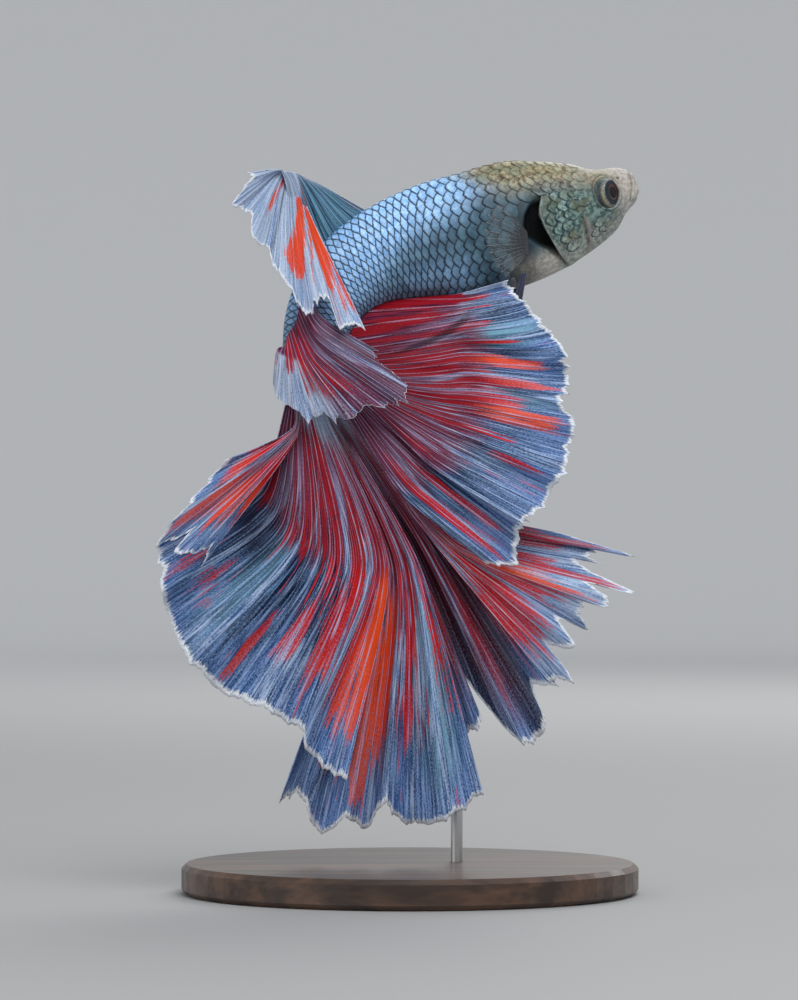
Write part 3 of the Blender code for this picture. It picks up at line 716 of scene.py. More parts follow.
def build_web(
    name, node, finish, root, middle, knees, tips, rays, tints, seed, pleats=(), pleats_from=0.05, bend=0.6,
    sweep=0.0, scallop=0.8, trim=0.55, fleck=0.8, smooth=False,
):
    """A fin of bent rays with webs between them. root(u): where each ray leaves the body. Pleats are waves in
    depth. sweep draws the rays' lower parts round the fan. scallop is how deep the webs are cut back between
    the rays' tips, trim how wide the white margin is and fleck how pale the web is near it. smooth: whether a
    curve runs through the tips, and not straight lines."""
    obj, u, v = add_grid(name, rays * 12, 100)
    chance = np.random.default_rng(seed)
    cell = u * rays
    part = cell % 1
    arch = 1 - np.abs(2 * part - 1) ** 1.5
    arch += 0.3 * (1 - np.abs(2 * ((cell * 3) % 1) - 1) ** 1.2)
    deep = chance.uniform(0.35, 1.0, rays + 1)[np.minimum(cell.astype(int), rays)]
    short = np.interp(cell, np.arange(rays + 1), chance.uniform(0, 0.7, rays + 1))
    # The sweep is greatest a third of the way round, where its curve is 1.
    fanned = np.clip(u + sweep * 6.75 * u * (1 - u) ** 2 * (1 - v), 0, 1)
    start = root(fanned)
    knee = polar(middle, *smoothly(knees, fanned))
    tip = polar(middle, *(smoothly if smooth else straight)(tips, fanned))
    length = (np.linalg.norm(knee - start, axis=1) + np.linalg.norm(tip - knee, axis=1)) / UNIT
    cut = (deep * arch + short * np.maximum(1 - arch, 0)) * scallop / length
    points = bent_ray(start, knee, tip, v * (1 - cut), bend)
    depth = np.zeros(u.shape)
    for number, height, begin in pleats:
        depth += np.sin(2 * math.pi * (number * fanned + begin)) * height * rise(pleats_from, 1, v) ** 0.8
    # The margin ruffles and curls, and the rays stand out as ridges that fork on their way.
    depth += 0.35 * rise(0.68, 1, v) * wander(cell * 1.1 + 7, seed)
    depth += 0.125 * rise(0.35, 0.9, v) * wander(cell * 0.45, seed + 50)
    depth -= 0.125 * rise(0.95, 1, v) * (0.4 + wander(cell * 0.8, seed + 90))
    fork = np.abs((cell * 3) % 1 - 0.5) * 2
    depth -= 0.07 * ridge(np.minimum(part, 1 - part), 0, 0.1) + 0.03 * rise(0.25, 0.5, v) * fork**4
    points[:, 1] += depth * UNIT
    move_corners(obj, points)
    found = tinted(tints, u, v)
    white = np.clip(1 - (1 - v) * length / (3 * trim) + wander(cell * 0.7, seed + 20, 0.12), 0, 1)
    dye = [found[kind] for kind in TINTS[:4]]
    # The dark tint is the fins' own dark marks, and on some lobes painted shade.
    lace_and_shade = [white, fleck * rise(0.45, 0.95, v), found["dark"], found["teal"]]
    finish_web(obj, dye, lace_and_shade, (cell, v * length), WEB_THICKNESS)
    fit(obj, finish, "fin", node)


# Each fin's knees and tips are angles from straight down towards the head, distances from the fan's middle
# and depths, negative ones on the right. Its pleats are how many waves, how high and the part of a wave that
# they start with. Its tints are bands from one place (u, v) to another, with a half width in u and how
# strong they are.
TAIL_MIDDLE = (-9.4, -6.2, 50.3)
# Where each lobe of the tail fin starts and ends over the tail's end, from back to belly, and how far to
# the right it is.
TAIL_ROOTS = {
    "upper": (0.02, 0.17, 0.82),
    "left": (0.12, 0.48, 0.02),
    "middle": (0.44, 0.68, -0.78),
    "low": (0.62, 0.82, -0.6),
    "right": (0.76, 0.92, 0.02),
    "front": (0.86, 0.98, 0.82),
}
TAIL_LOBES = {
    "upper": {
        "rays": 9, "scallop": 2.6,
        "pleats": ((2, 0.45, 0.1),),
        "knees": ((-31, 4.2, -2.1), (-22, 5.0, -2.0)),
        "tips": (
            (-53, 12.0, -2.8), (-50.5, 15.6, -3.6), (-48.5, 19.2, -4.4), (-46, 22.4, -4.6),
            (-43, 21.3, -4.4), (-41, 22.3, -4.0), (-37.5, 21.3, -3.9), (-33, 21.9, -3.4),
        ),
        "tints": {
            "pale": ((0.5, -0.3, 0.5, 0.2, 1.0, 0.6), (0.5, 0.1, 0.5, 1.0, 0.8, 0.3)),
            "red": (
                (0.5, 0.12, 0.5, 0.9, 1.0, 0.56), (0.98, 0.15, 0.98, 0.8, 0.12, 1.0),
                (0.62, 0.4, 0.66, 0.9, 0.1, 0.9), (0.33, 0.5, 0.36, 0.95, 0.08, 0.85),
                (0.08, 0.4, 0.1, 0.9, 0.07, 0.7),
            ),
            "plum": ((0.5, -0.2, 0.5, 0.4, 1.0, 0.8),),
            "orange": ((0.6, 0.6, 0.6, 1.1, 0.6, 0.6),),
        },
    },
    "left": {
        "rays": 17,
        "pleats": ((5, 0.55, 0.0), (2, 0.4, 0.3)),
        "knees": ((-31, 10.5, -1.2), (-13, 14.0, -1.3), (3, 16.5, -1.6), (17, 18, -1.4), (23, 18.6, -1.2)),
        "tips": (
            (-46, 22.3, -0.6), (-40.5, 24.3, -0.9), (-35.8, 26.3, 0.2), (-28.9, 28.9, 1.3),
            (-21.3, 31.1, 1.2), (-14, 32.4, 2.0), (-7.2, 32.7, 1.4), (-2.2, 34.4, 2.1), (-2.0, 35.9, 0.4),
            (1.6, 38.1, 0.7), (4.4, 39.2, -0.9),
        ),
        "tints": {
            "red": (
                (0.85, 0.3, 0.85, 0.94, 0.42, 0.62), (0.5, 0.1, 0.45, 0.6, 0.6, 0.46),
                (0.15, 0.8, 0.1, 0.92, 0.12, 0.4), (0.43, 0.76, 0.432, 0.97, 0.025, 0.6),
                (0.535, 0.68, 0.54, 0.93, 0.035, 1.0), (0.645, 0.6, 0.665, 0.9, 0.035, 1.0),
                (0.9, 0.5, 0.84, 0.93, 0.035, 1.0), (0.98, 0.45, 0.98, 0.92, 0.04, 1.0),
                (0.78, 0.45, 0.76, 0.8, 0.025, 0.8), (0.56, 0.35, 0.6, 0.6, 0.03, 0.6),
                (0.28, 0.85, 0.28, 0.94, 0.03, 0.5),
            ),
            "pale": (
                (0.75, -0.3, 0.75, 0.2, 0.6, 0.75), (0.56, 0.14, 0.34, 0.6, 0.02, 0.4),
                (0.7, 0.3, 0.7, 0.75, 0.03, 0.4),
            ),
            "plum": ((0.6, -0.2, 0.6, 0.55, 0.8, 0.9),),
            # Painted shade where this lobe's web lies in shadow next to the upper lobe.
            "dark": ((0.1, 0.2, 0.2, 0.75, 0.16, 0.7),),
            "teal": ((0.3, 0.5, 0.3, 1.0, 0.07, 0.35),),
            "orange": ((0.95, 0.5, 0.9, 1.0, 0.1, 0.9), (0.6, 0.8, 0.6, 1.0, 0.3, 0.3)),
        },
    },
    "middle": {
        "rays": 15, "smooth": True,
        "pleats": ((4, 0.6, 0.2),),
        "knees": ((14, 17.5, 0.8), (23, 19.0, 0.8), (31, 20.0, 0.4)),
        "tips": (
            (-5.2, 41.6, 3.6), (-2.6, 41.0, 4.6), (0.2, 44.4, 4.4), (3.8, 43.4, 3.0), (6.5, 44.3, 3.9),
            (9.3, 42.4, 2.6), (12.2, 44.9, 4.3), (17.2, 44.9, 2.6), (22.5, 44.1, 4.4),
        ),
        "tints": {
            "red": (
                (0.45, 0.05, 0.4, 0.9, 0.9, 0.58), (0.55, 0.45, 0.5, 0.9, 0.09, 1.0),
                (0.72, 0.5, 0.7, 0.85, 0.03, 0.9), (0.36, 0.5, 0.41, 0.98, 0.07, 1.4),
                (0.15, 0.4, 0.2, 0.92, 0.04, 1.2),
            ),
            "pale": (
                (0.4, -0.3, 0.4, 0.18, 0.8, 0.8), (0.785, 0.45, 0.79, 0.85, 0.02, 1.0),
                (0.5, 0.6, 0.5, 1.05, 0.025, 0.7),
            ),
            "plum": ((0.5, -0.2, 0.5, 0.5, 1.0, 0.9),),
            "orange": ((0.4, 0.5, 0.3, 1.0, 0.3, 0.9),),
            "teal": ((0.85, 0.55, 0.88, 0.95, 0.12, 0.8),),
            "dark": ((0.6, 0.8, 0.6, 0.96, 0.04, 0.5),),
        },
    },
    "low": {
        "rays": 12, "smooth": True,
        "pleats": ((3, 0.5, 0.4),),
        "knees": ((30, 17.0, 2.6), (35, 19.0, 2.6), (41, 19.5, 2.8)),
        "tips": (
            (23.4, 38.2, 5.4), (26.6, 37.3, 4.3), (27.4, 33.6, 5.6), (29.6, 40.0, 6.6), (31.4, 41.9, 6.2),
            (34.6, 41.1, 5.4), (36.2, 37.4, 5.9), (39.5, 38.4, 6.6),
        ),
        "tints": {
            "red": (
                (0.5, 0.1, 0.5, 0.9, 1.0, 0.55), (0.9, 0.3, 0.94, 0.85, 0.04, 1.4),
                (0.5, 0.4, 0.5, 0.8, 0.05, 0.7),
            ),
            "pale": (
                (0.5, -0.3, 0.5, 0.18, 1.0, 0.8), (0.12, 0.5, 0.1, 0.9, 0.03, 0.6),
                (0.9, 0.5, 0.9, 0.9, 0.03, 0.5),
            ),
            "plum": ((0.5, -0.2, 0.5, 0.95, 1.0, 0.8),),
            # Painted shadow where the low lobe lies behind the middle lobe.
            "dark": ((0.3, 0.35, 0.3, 1.25, 0.2, 0.95), (0.75, 0.4, 0.75, 1.25, 0.16, 0.95)),
        },
    },
    "right": {
        "rays": 18, "scallop": 1.5, "smooth": True,
        "pleats": ((3, 0.4, 0.15),),
        "knees": ((38, 16.5, 0.8), (42.5, 20.5, 1.0), (51, 17.5, 1.9)),
        "tips": (
            (38.8, 38.2, 3.2), (41.9, 39.2, 2.4), (42.6, 35.4, 2.8), (45.6, 36.9, 2.0), (47.4, 34.4, 3.0),
            (49.2, 36.9, 3.4), (51.8, 34.6, 2.2), (54.2, 37.2, 2.4), (56.0, 35.0, 3.4), (58.0, 38.6, 4.2),
            (57.6, 32.0, 5.6), (59.4, 33.8, 6.6), (60.9, 32.6, 7.2), (63.2, 37.3, 8.6), (60.6, 29.4, 6.6),
            (57.4, 26.0, 4.6),
        ),
        "tints": {
            "red": (
                (0.35, 0.08, 0.38, 0.96, 1.0, 0.62), (0.4, 0.5, 0.55, 0.93, 0.06, 1.3),
                (0.33, 0.5, 0.36, 0.9, 0.035, 0.9), (0.2, 0.5, 0.22, 0.88, 0.035, 0.9),
                (0.08, 0.5, 0.08, 0.9, 0.035, 0.8), (0.62, 0.55, 0.62, 0.85, 0.03, 0.6),
            ),
            "plum": ((0.5, -0.2, 0.5, 0.6, 1.0, 0.85),),
            "orange": ((0.4, 0.5, 0.55, 1.1, 0.07, 1.0),),
            "pale": (
                (0.4, 0.5, 0.4, 1.1, 0.7, 0.6), (0.5, -0.3, 0.5, 0.14, 1.0, 0.5),
                (0.27, 0.5, 0.28, 0.9, 0.02, 0.6), (0.42, 0.6, 0.43, 0.95, 0.02, 0.6),
            ),
            "dark": ((0.85, 0.5, 0.85, 0.95, 0.14, 0.5),),
        },
    },
    "front": {
        "rays": 8,
        "pleats": ((2, 0.35, 0.5),),
        "knees": ((40, 13.0, -0.7), (61, 13.0, 0.0)),
        "tips": ((44.8, 24.6, -0.1), (49.2, 26.8, -0.6), (53.2, 25.5, 0.2), (58.6, 25.0, -0.4)),
        "tints": {
            "plum": ((0.5, -0.2, 0.5, 0.6, 1.0, 0.8),),
            "red": ((0.3, 0.3, 0.3, 0.95, 0.12, 0.8), (0.65, 0.3, 0.65, 0.95, 0.1, 0.8)),
            "pale": ((0.5, -0.3, 0.5, 0.14, 1.0, 0.5), (0.85, 0.4, 0.9, 1.0, 0.08, 0.5)),
        },
    },
}

ANAL_FIN = {
    "middle": (-6.0, -5.0, 53.5), "rays": 27, "sweep": 0.25, "scallop": 0.7, "trim": 0.4,
    "seed": 21,
    "pleats": ((6, 0.32, 0.0), (2, 0.3, 0.35)),
    "knees": (
        (119.9, 13.9, 2.0), (114, 11.8, 1.0), (99.6, 10.8, 0.2), (83.5, 10.6, -0.6), (67.3, 11.4, -1.2),
        (52.8, 12.6, -2.1), (37.5, 13.6, -3.0),
    ),
    "tips": (
        (116.5, 17.9, 0.6), (110.5, 18.3, 0.2), (106, 18.9, -0.4), (98.5, 20.4, -1.3), (91.2, 21.8, -1.6),
        (86.2, 22.2, -1.0), (81.8, 22.2, -1.9), (77.6, 21.7, -2.7), (74.8, 23.7, -2.4), (70.4, 23.8, -1.8),
        (66.2, 24.1, -2.5), (61.5, 24.6, -3.2), (57, 24.2, -2.5), (52.5, 24.5, -3.2), (46.5, 24.0, -3.4),
    ),
    "tints": {
        "red": (
            (0.45, -0.1, 0.42, 0.58, 0.62, 0.52), (0.5, 0.1, 0.5, 0.85, 0.16, 0.62),
            (0.05, 0.3, 0.04, 0.8, 0.014, 0.9), (0.11, 0.3, 0.1, 0.88, 0.012, 0.9),
            (0.165, 0.3, 0.16, 0.8, 0.014, 0.9), (0.225, 0.3, 0.23, 0.85, 0.012, 0.9),
            (0.06, 0.0, 0.02, 0.45, 0.04, 0.9), (0.13, 0.05, 0.09, 0.45, 0.03, 0.9),
            (0.2, 0.1, 0.18, 0.5, 0.02, 0.7), (0.285, 0.28, 0.335, 0.93, 0.035, 1.0),
            (0.37, 0.2, 0.43, 0.93, 0.04, 1.0), (0.61, 0.55, 0.6, 0.97, 0.04, 0.7),
            (0.81, 0.7, 0.815, 0.95, 0.025, 0.6), (0.5, 0.3, 0.51, 0.8, 0.03, 0.8),
            (0.72, 0.5, 0.72, 0.85, 0.02, 0.6),
        ),
        "plum": ((0.5, -0.2, 0.5, 0.7, 1.0, 0.9),),
        "orange": ((0.31, 0.6, 0.4, 1.0, 0.1, 0.8), (0.6, 0.6, 0.6, 1.0, 0.06, 1.0)),
        "teal": ((0.22, 0.3, 0.2, 1.0, 0.05, 0.9), (0.5, 0.6, 0.5, 1.0, 0.05, 0.9)),
        "dark": ((0.24, 0.2, 0.12, 0.66, 0.02, 0.8),),
        "pale": (
            (0.87, 0.55, 0.87, 1.0, 0.14, 0.3), (0.08, 0.5, 0.08, 1.0, 0.1, 0.35),
            (0.0, 0.15, 0.0, 1.1, 0.022, 0.85),
        ),
    },
}

DORSAL_FIN = {
    "middle": (-11.7, -6.0, 71.5), "rays": 16, "bend": 0.5, "pleats_from": 0.45, "scallop": 1.0,
    "trim": 0.3, "seed": 22,
    "pleats": ((5, 0.32, 0.1),),
    "knees": ((98, 0.7, 3.9), (130, 0.6, 2.4), (180, 0.5, 0.8), (225, 0.8, -0.6), (243, 1.1, -1.6)),
    "tips": (
        (25.5, 17.0, -3.6), (20.6, 16.1, -3.3), (17.4, 16.5, -3.7), (17.0, 13.4, -3.3), (13.8, 12.8, -3.1),
        (10.1, 13.4, -3.4), (8.2, 14.7, -3.6), (4.1, 14.1, -3.4), (0.4, 11.7, -3.0), (-8.0, 10.3, -3.1),
        (-18, 8.2, -2.3), (-32, 7.6, -2.6), (-48, 6.0, -2.0), (-63, 7.1, -2.5), (-78, 5.0, -1.8),
        (-94, 5.0, -2.2),
    ),
    "tints": {
        "pale": ((0.5, 0.3, 0.5, 1.1, 1.0, 0.95),),
        "teal": ((0.3, -0.2, 0.3, 0.32, 1.0, 0.8),),
        "red": (
            (0.15, 0.4, 0.53, 0.9, 0.1, 2.4), (0.06, 0.49, 0.085, 0.84, 0.08, 2.4),
            (0.06, 0.45, 0.31, 0.88, 0.025, 1.2), (0.0, 0.76, 0.045, 0.97, 0.04, 1.2),
            (0.64, 0.5, 0.71, 0.85, 0.03, 1.3),
        ),
        "plum": ((0.1, 0.22, 0.3, 0.4, 0.2, 0.7),),
        "orange": ((0.3, 0.5, 0.3, 1.0, 1.0, 0.75),),
        "dark": (
            (0.58, 0.4, 0.66, 1.1, 0.012, 0.6), (0.78, 0.3, 0.86, 1.1, 0.012, 0.5),
            (0.93, 0.3, 0.95, 1.1, 0.012, 0.5),
        ),
    },
}

DORSAL_REAR = {
    "middle": (-12.0, -6.5, 59.0), "rays": 15, "scallop": 1.4, "trim": 0.03, "fleck": 0.2,
    "seed": 23,
    "knees": ((68, 3.4, -1.4), (40, 4.6, -2.2), (22, 6.4, -2.7), (4, 6.0, -3.0), (-14, 4.8, -2.4)),
    "tips": (
        (61.5, 10.6, -2.0), (57.0, 11.2, -2.5), (55.5, 14.9, -2.4), (49.5, 15.6, -3.0), (46, 15.6, -2.8),
        (38.0, 13.4, -3.2), (27.0, 14.0, -3.0), (18.0, 12.4, -2.9), (10.0, 12.6, -2.9), (1.0, 10.8, -2.8),
        (-6.0, 10.6, -2.4), (-11.0, 8.8, -1.8),
    ),
    "tints": {
        "plum": ((0.5, -0.2, 0.5, 1.1, 1.0, 0.7),),
        "red": ((0.45, 0.0, 0.5, 0.9, 0.3, 0.42), (0.76, 0.0, 0.8, 0.7, 0.1, 0.8)),
        "pale": ((0.82, 0.4, 0.8, 1.4, 0.36, 0.6),),
        "teal": ((0.12, 0.3, 0.1, 1.2, 0.15, 0.6),),
        "dark": ((0.3, 0.1, 0.3, 1.2, 0.06, 0.5),),
    },
}

# The tips of the paired fins' rays: how far ahead, outwards and up they reach from the root.
PECTORAL_TIPS = (
    (-2.8, 4.4, 3.4), (-4.2, 5.4, 3.0), (-5.1, 5.9, 1.8), (-5.2, 6.0, 0.3), (-4.7, 5.5, -1.1),
    (-3.7, 4.6, -2.2),
)
PELVIC_TIPS = ((-3.4, 0.4, -8.6), (-5.2, 0.6, -11.6), (-5.0, 0.4, -9.4))


def build_side_fin(name, node, slot, side, shares, arounds, tips, rays, bow, finish):
    """A paired fin, with its root on the skin from the first of shares and arounds to the second. bow: how
    far its rays curve outwards on their way."""
    obj, u, v = add_grid(name, rays * 8, 60)
    _, forward, right, back = SPINE.place(shares[0])
    cell = u * rays
    part = cell % 1
    arch = 1 - np.abs(2 * part - 1) ** 1.6
    start = body_points(np.interp(u, (0, 1), shares), side * np.interp(u, (0, 1), arounds), -0.2 * UNIT)
    reach = straight(tips, u).T @ np.stack([forward, side * right, back])
    length = np.linalg.norm(reach, axis=1)
    v_cut = v * (1 - 0.5 * arch / length)
    out = bow * v_cut * (1 - v_cut) + 0.12 * rise(0.3, 1, v) * wander(cell * 0.8, 1)
    out = out + 0.04 * ridge(np.minimum(part, 1 - part), 0, 0.12)
    move_corners(obj, start + (reach * v_cut[:, None] + side * right * out[:, None]) * UNIT)
    none = 0 * u
    dye = [0.7 * rise(0.85, 0.95, v), none, 0.3 - 0.3 * v, none]
    lace_and_shade = [none, none + 0.3, 0.7 - 0.3 * v, none + 0.6]
    finish_web(obj, dye, lace_and_shade, (cell, v * length), SIDE_WEB_THICKNESS)
    fit(obj, finish, slot, node)


def build_fins(web, clear):
    for number, (label, lobe) in enumerate(TAIL_LOBES.items()):
        root = across_tail(*TAIL_ROOTS[label])
        build_web("tail_lobe_" + label, "tail_fin_" + label, web, root, TAIL_MIDDLE, seed=11 + number, **lobe)
    build_web("anal_web", "anal_fin", web, along_body(0.48, 0.955, 180, 4), **ANAL_FIN)
    build_web("dorsal_web", "dorsal_fin", web, along_body(0.60, 0.79, 0), **DORSAL_FIN)
    build_web("dorsal_rear_web", "dorsal_fin_rear", web, along_body(0.77, 0.93, 0), **DORSAL_REAR)
    for side, label in ((1, "right"), (-1, "left")):
        build_side_fin(
            "pectoral_web_" + label, "pectoral_fin_" + label, "clear_fin", side, (0.283, 0.287), (104, 124),
            PECTORAL_TIPS, 12, 1.4, clear,
        )
        build_side_fin(
            "pelvic_web_" + label, "pelvic_fin_" + label, "fin", side, (0.296, 0.309), (146, 146),
            PELVIC_TIPS, 4, -0.6, web,
        )


# --- materials ---


class Sheet:
    """A material's or a group's nodes. Each method adds one and gives what it puts out. A value may be a
    number, a colour or another node's output."""

    def __init__(self, tree):
        self.tree = tree

    def node(self, kind, values=None, **settings):
        made = self.tree.nodes.new("ShaderNode" + kind)
        for name, setting in settings.items():
            setattr(made, name, setting)
        for key, value in (values or {}).items():
            self.put(made.inputs[key], value)
        return made

    def put(self, socket, value):
        if isinstance(value, bpy.types.NodeSocket):
            self.tree.links.new(value, socket)
        elif isinstance(value, tuple) and len(value) == 3 and socket.type == "RGBA":
            socket.default_value = (*value, 1)
        else:
            socket.default_value = value

    def feed(self, node, **values):
        """Puts values into a node's named inputs. An underscore stands for a space."""
        for name, value in values.items():
            self.put(node.inputs[name.replace("_", " ")], value)

    def math(self, operation, *values):
        return self.node("Math", dict(enumerate(values)), operation=operation).outputs[0]

    def times(self, first, second):
        return self.math("MULTIPLY", first, second)

    def scaled(self, value, by, more):
        """A value times one number or output and plus another."""
        return self.math("MULTIPLY_ADD", value, by, more)

    def swung(self, value, by, more):
        """The same for a value that is first taken from its middle, a half."""
        return self.scaled(self.math("SUBTRACT", value, 0.5), by, more)

    def weighed(self, first, weight, second, other_weight):
        return self.scaled(first, weight, self.times(second, other_weight))

    def step(self, value, low, high):
        """0 below low, 1 over high and smooth between. With low over high it falls."""
        values = {"Value": value, "From Min": low, "From Max": high}
        return self.node("MapRange", values, interpolation_type="SMOOTHSTEP").outputs[0]

    def mix(self, share, first, second):
        """The first colour turning into the second as share goes from 0 to 1."""
        return self.node("Mix", {0: share, 6: first, 7: second}, data_type="RGBA").outputs[2]

    def tint(self, colour, by):
        """A colour made lighter or darker by a number."""
        return self.node("VectorMath", {0: colour, "Scale": by}, operation="SCALE").outputs[0]

    def noise(self, vector, scale, detail=2.0, rough=0.5):
        values = {"Vector": vector, "Scale": scale, "Detail": detail, "Roughness": rough}
        return self.node("TexNoise", values).outputs["Fac"]

    def bump(self, height, strength, distance):
        values = {"Strength": strength, "Distance": distance, "Height": height}
        return self.node("Bump", values).outputs[0]

    def kept(self, name):
        """The four values kept at a piece's corners under a name."""
        found = self.node("Attribute", attribute_name=name)
        split = self.node("SeparateColor", {0: found.outputs["Color"]})
        return [*split.outputs, found.outputs["Alpha"]]

    def one(self, name):
        """The one value kept there."""
        return self.node("Attribute", attribute_name=name).outputs["Fac"]

    def place(self, scale=(1, 1, 1), turn=(0, 0, 0)):
        """The place on the model, stretched by scale and turned, to lay a grain along."""
        place = self.node("TexCoord").outputs["Object"]
        if scale == (1, 1, 1):
            return place
        return self.node("Mapping", {"Vector": place, "Scale": scale, "Rotation": turn}).outputs[0]

    def map(self, name):
        split = self.node("SeparateXYZ", {0: self.node("UVMap", uv_map=name).outputs[0]})
        return split.outputs[0], split.outputs[1]

    def join(self, x, y, z=0.0):
        return self.node("CombineXYZ", {0: x, 1: y, 2: z}).outputs[0]

    def placed(self, tree, **values):
        """What a node group puts out, from its own values."""
        made = self.node("Group", node_tree=tree)
        self.feed(made, **values)
        return made.outputs


def group(name, inputs, outputs):
    """A node group, its sheet, what comes in and its end. Each name has a kind: Float or Color."""
    tree = bpy.data.node_groups.new(name, "ShaderNodeTree")
    for sockets, way in ((inputs, "INPUT"), (outputs, "OUTPUT")):
        for label, kind in sockets.items():
            tree.interface.new_socket(name=label, in_out=way, socket_type="NodeSocket" + kind)
    into = tree.nodes.new("NodeGroupInput") if inputs else None
    return tree, Sheet(tree), into, tree.nodes.new("NodeGroupOutput")


def finish(name, **values):
    """A material, its sheet and its shader, with values that are the same all over."""
    made = bpy.data.materials.new(name)
    made.use_nodes = True
    sheet = Sheet(made.node_tree)
    shader = made.node_tree.nodes["Principled BSDF"]
    sheet.feed(shader, **values)
    return made, sheet, shader


BRONZE, OLD_BRONZE, OLIVE_BRONZE = (0.34, 0.30, 0.18), (0.12, 0.09, 0.04), (0.25, 0.26, 0.17)
SKY, PALE_SKY = (0.19, 0.41, 0.76), (0.40, 0.64, 0.95)
DEEP, SLATE = (0.022, 0.056, 0.085), (0.072, 0.140, 0.180)
TEAL, PALE_TEAL, OLIVE = (0.035, 0.075, 0.075), (0.22, 0.33, 0.30), (0.12, 0.13, 0.075)
CREAM, ROSE, SHEEN = (0.40, 0.385, 0.345), (0.38, 0.30, 0.29), (0.36, 0.38, 0.36)
INK, UMBER = (0.006, 0.013, 0.03), (0.03, 0.017, 0.011)


def body_colour_group():
    """The colours of skin and scales, from the marks kept on both, with painted light in the flank's blue."""
    outputs = {"Colour": "Color", "Grain": "Float", "Bronze": "Float"}
    tree, s, _, end = group("body_colour", {}, outputs)
    bronze, sky, teal, cream = s.kept("marks")
    at = s.place()
    coarse, fine, specks = s.noise(at, 900, 3), s.noise(at, 2600, 3), s.noise(at, 7500, 2)
    # Slate low on the flank and sky blue above it: the fish's own colours, with painted light making the
    # upper flank paler than the lower.
    colour = s.mix(s.step(coarse, 0.3, 0.7), DEEP, SLATE)
    colour = s.mix(sky, colour, s.mix(s.step(fine, 0.25, 0.75), SKY, PALE_SKY))
    teals = s.mix(s.step(fine, 0.36, 0.66), TEAL, PALE_TEAL)
    colour = s.mix(teal, colour, s.mix(s.step(coarse, 0.44, 0.75), teals, OLIVE))
    blotch = s.step(s.scaled(coarse, 0.6, fine), 0.60, 0.90)
    bronzes = s.mix(s.step(coarse, 0.45, 0.62), BRONZE, OLIVE_BRONZE)
    colour = s.mix(bronze, colour, s.mix(blotch, OLD_BRONZE, bronzes))
    colour = s.mix(cream, colour, s.mix(s.step(fine, 0.4, 0.6), s.tint(CREAM, 1.1), s.tint(CREAM, 1.7)))
    colour = s.tint(colour, s.scaled(specks, 0.7, 0.65))
    s.feed(end, Colour=colour, Grain=s.weighed(fine, 0.6, specks, 0.4), Bronze=bronze)
    return tree


def skin_finish(body_colour):
    made, s, shader = finish("skin")
    body, grain, _ = s.placed(body_colour)
    line, opening, blush, rim = s.kept("shade_blush_and_sheen")
    # Skin that lies under the scales is painted darker: painted shade where it shows between them.
    shade_under_scales = s.mix(s.step(s.one("share"), 0.24, 0.3), body, s.tint(body, 0.3))
    colour = s.mix(blush, shade_under_scales, ROSE)
    # A painted sheen on the raised edges.
    colour = s.mix(s.times(rim, 0.55), colour, SHEEN)
    # Painted shade in the grooves.
    colour = s.mix(s.times(line, 0.9), colour, UMBER)
    # Near black in the openings as painted shade, with less gloss there.
    opening_shade = s.mix(s.noise(s.place(), 1500), (0.003, 0.004, 0.005), (0.012, 0.012, 0.012))
    s.feed(
        shader, Base_Color=s.mix(opening, colour, opening_shade), Roughness=s.scaled(grain, 0.3, 0.36),
        Specular_IOR_Level=s.scaled(opening, -0.49, 0.5), Normal=s.bump(grain, 0.5, 0.00006),
    )
    return made


def scale_finish(body_colour):
    """Plates with a painted highlight high on each, and a dark rim along the sides and the free edge, which
    is their own dark margin deepened by painted shade where one plate steps over the next.
    """
    made, s, shader = finish("scales", Coat_Weight=0.1, Coat_Roughness=0.2)
    body, grain, bronze = s.placed(body_colour)
    line, opening, _, _ = s.kept("shade_blush_and_sheen")
    across, down = s.map("plate")
    aside = s.math("ABSOLUTE", s.scaled(across, 2.0, -1.0))
    # The dark rim: the plates' own dark margin, with painted shade where each plate's edge steps down over
    # the next.
    rough = s.scaled(s.noise(s.place(), 5000), 0.16, -0.08)
    edge = s.step(s.math("ADD", down, rough), 0.86, 0.97)
    rim = s.math("MAXIMUM", edge, s.step(s.math("ADD", aside, rough), 0.86, 1.0))
    # A painted highlight on each plate's crown, towards its free edge.
    highlight_crown = s.times(s.step(down, 0.45, 0.8), s.step(aside, 0.9, 0.1))
    colour = s.tint(body, s.scaled(highlight_crown, 0.35, s.scaled(s.one("tone"), 0.35, 0.82)))
    colour = s.mix(s.times(rim, s.scaled(bronze, -0.45, 0.92)), colour, s.mix(bronze, INK, UMBER))
    # Painted shade where the plates lie over the head's grooves.
    colour = s.mix(s.times(line, 0.8), colour, UMBER)
    # Near black in the openings as painted shade.
    colour = s.mix(opening, colour, (0.005, 0.005, 0.007))
    s.feed(
        shader, Base_Color=colour, Roughness=s.scaled(grain, 0.3, 0.34),
        Specular_IOR_Level=s.scaled(opening, -0.3, 0.32), Normal=s.bump(grain, 0.4, 0.00004),
    )
    return made


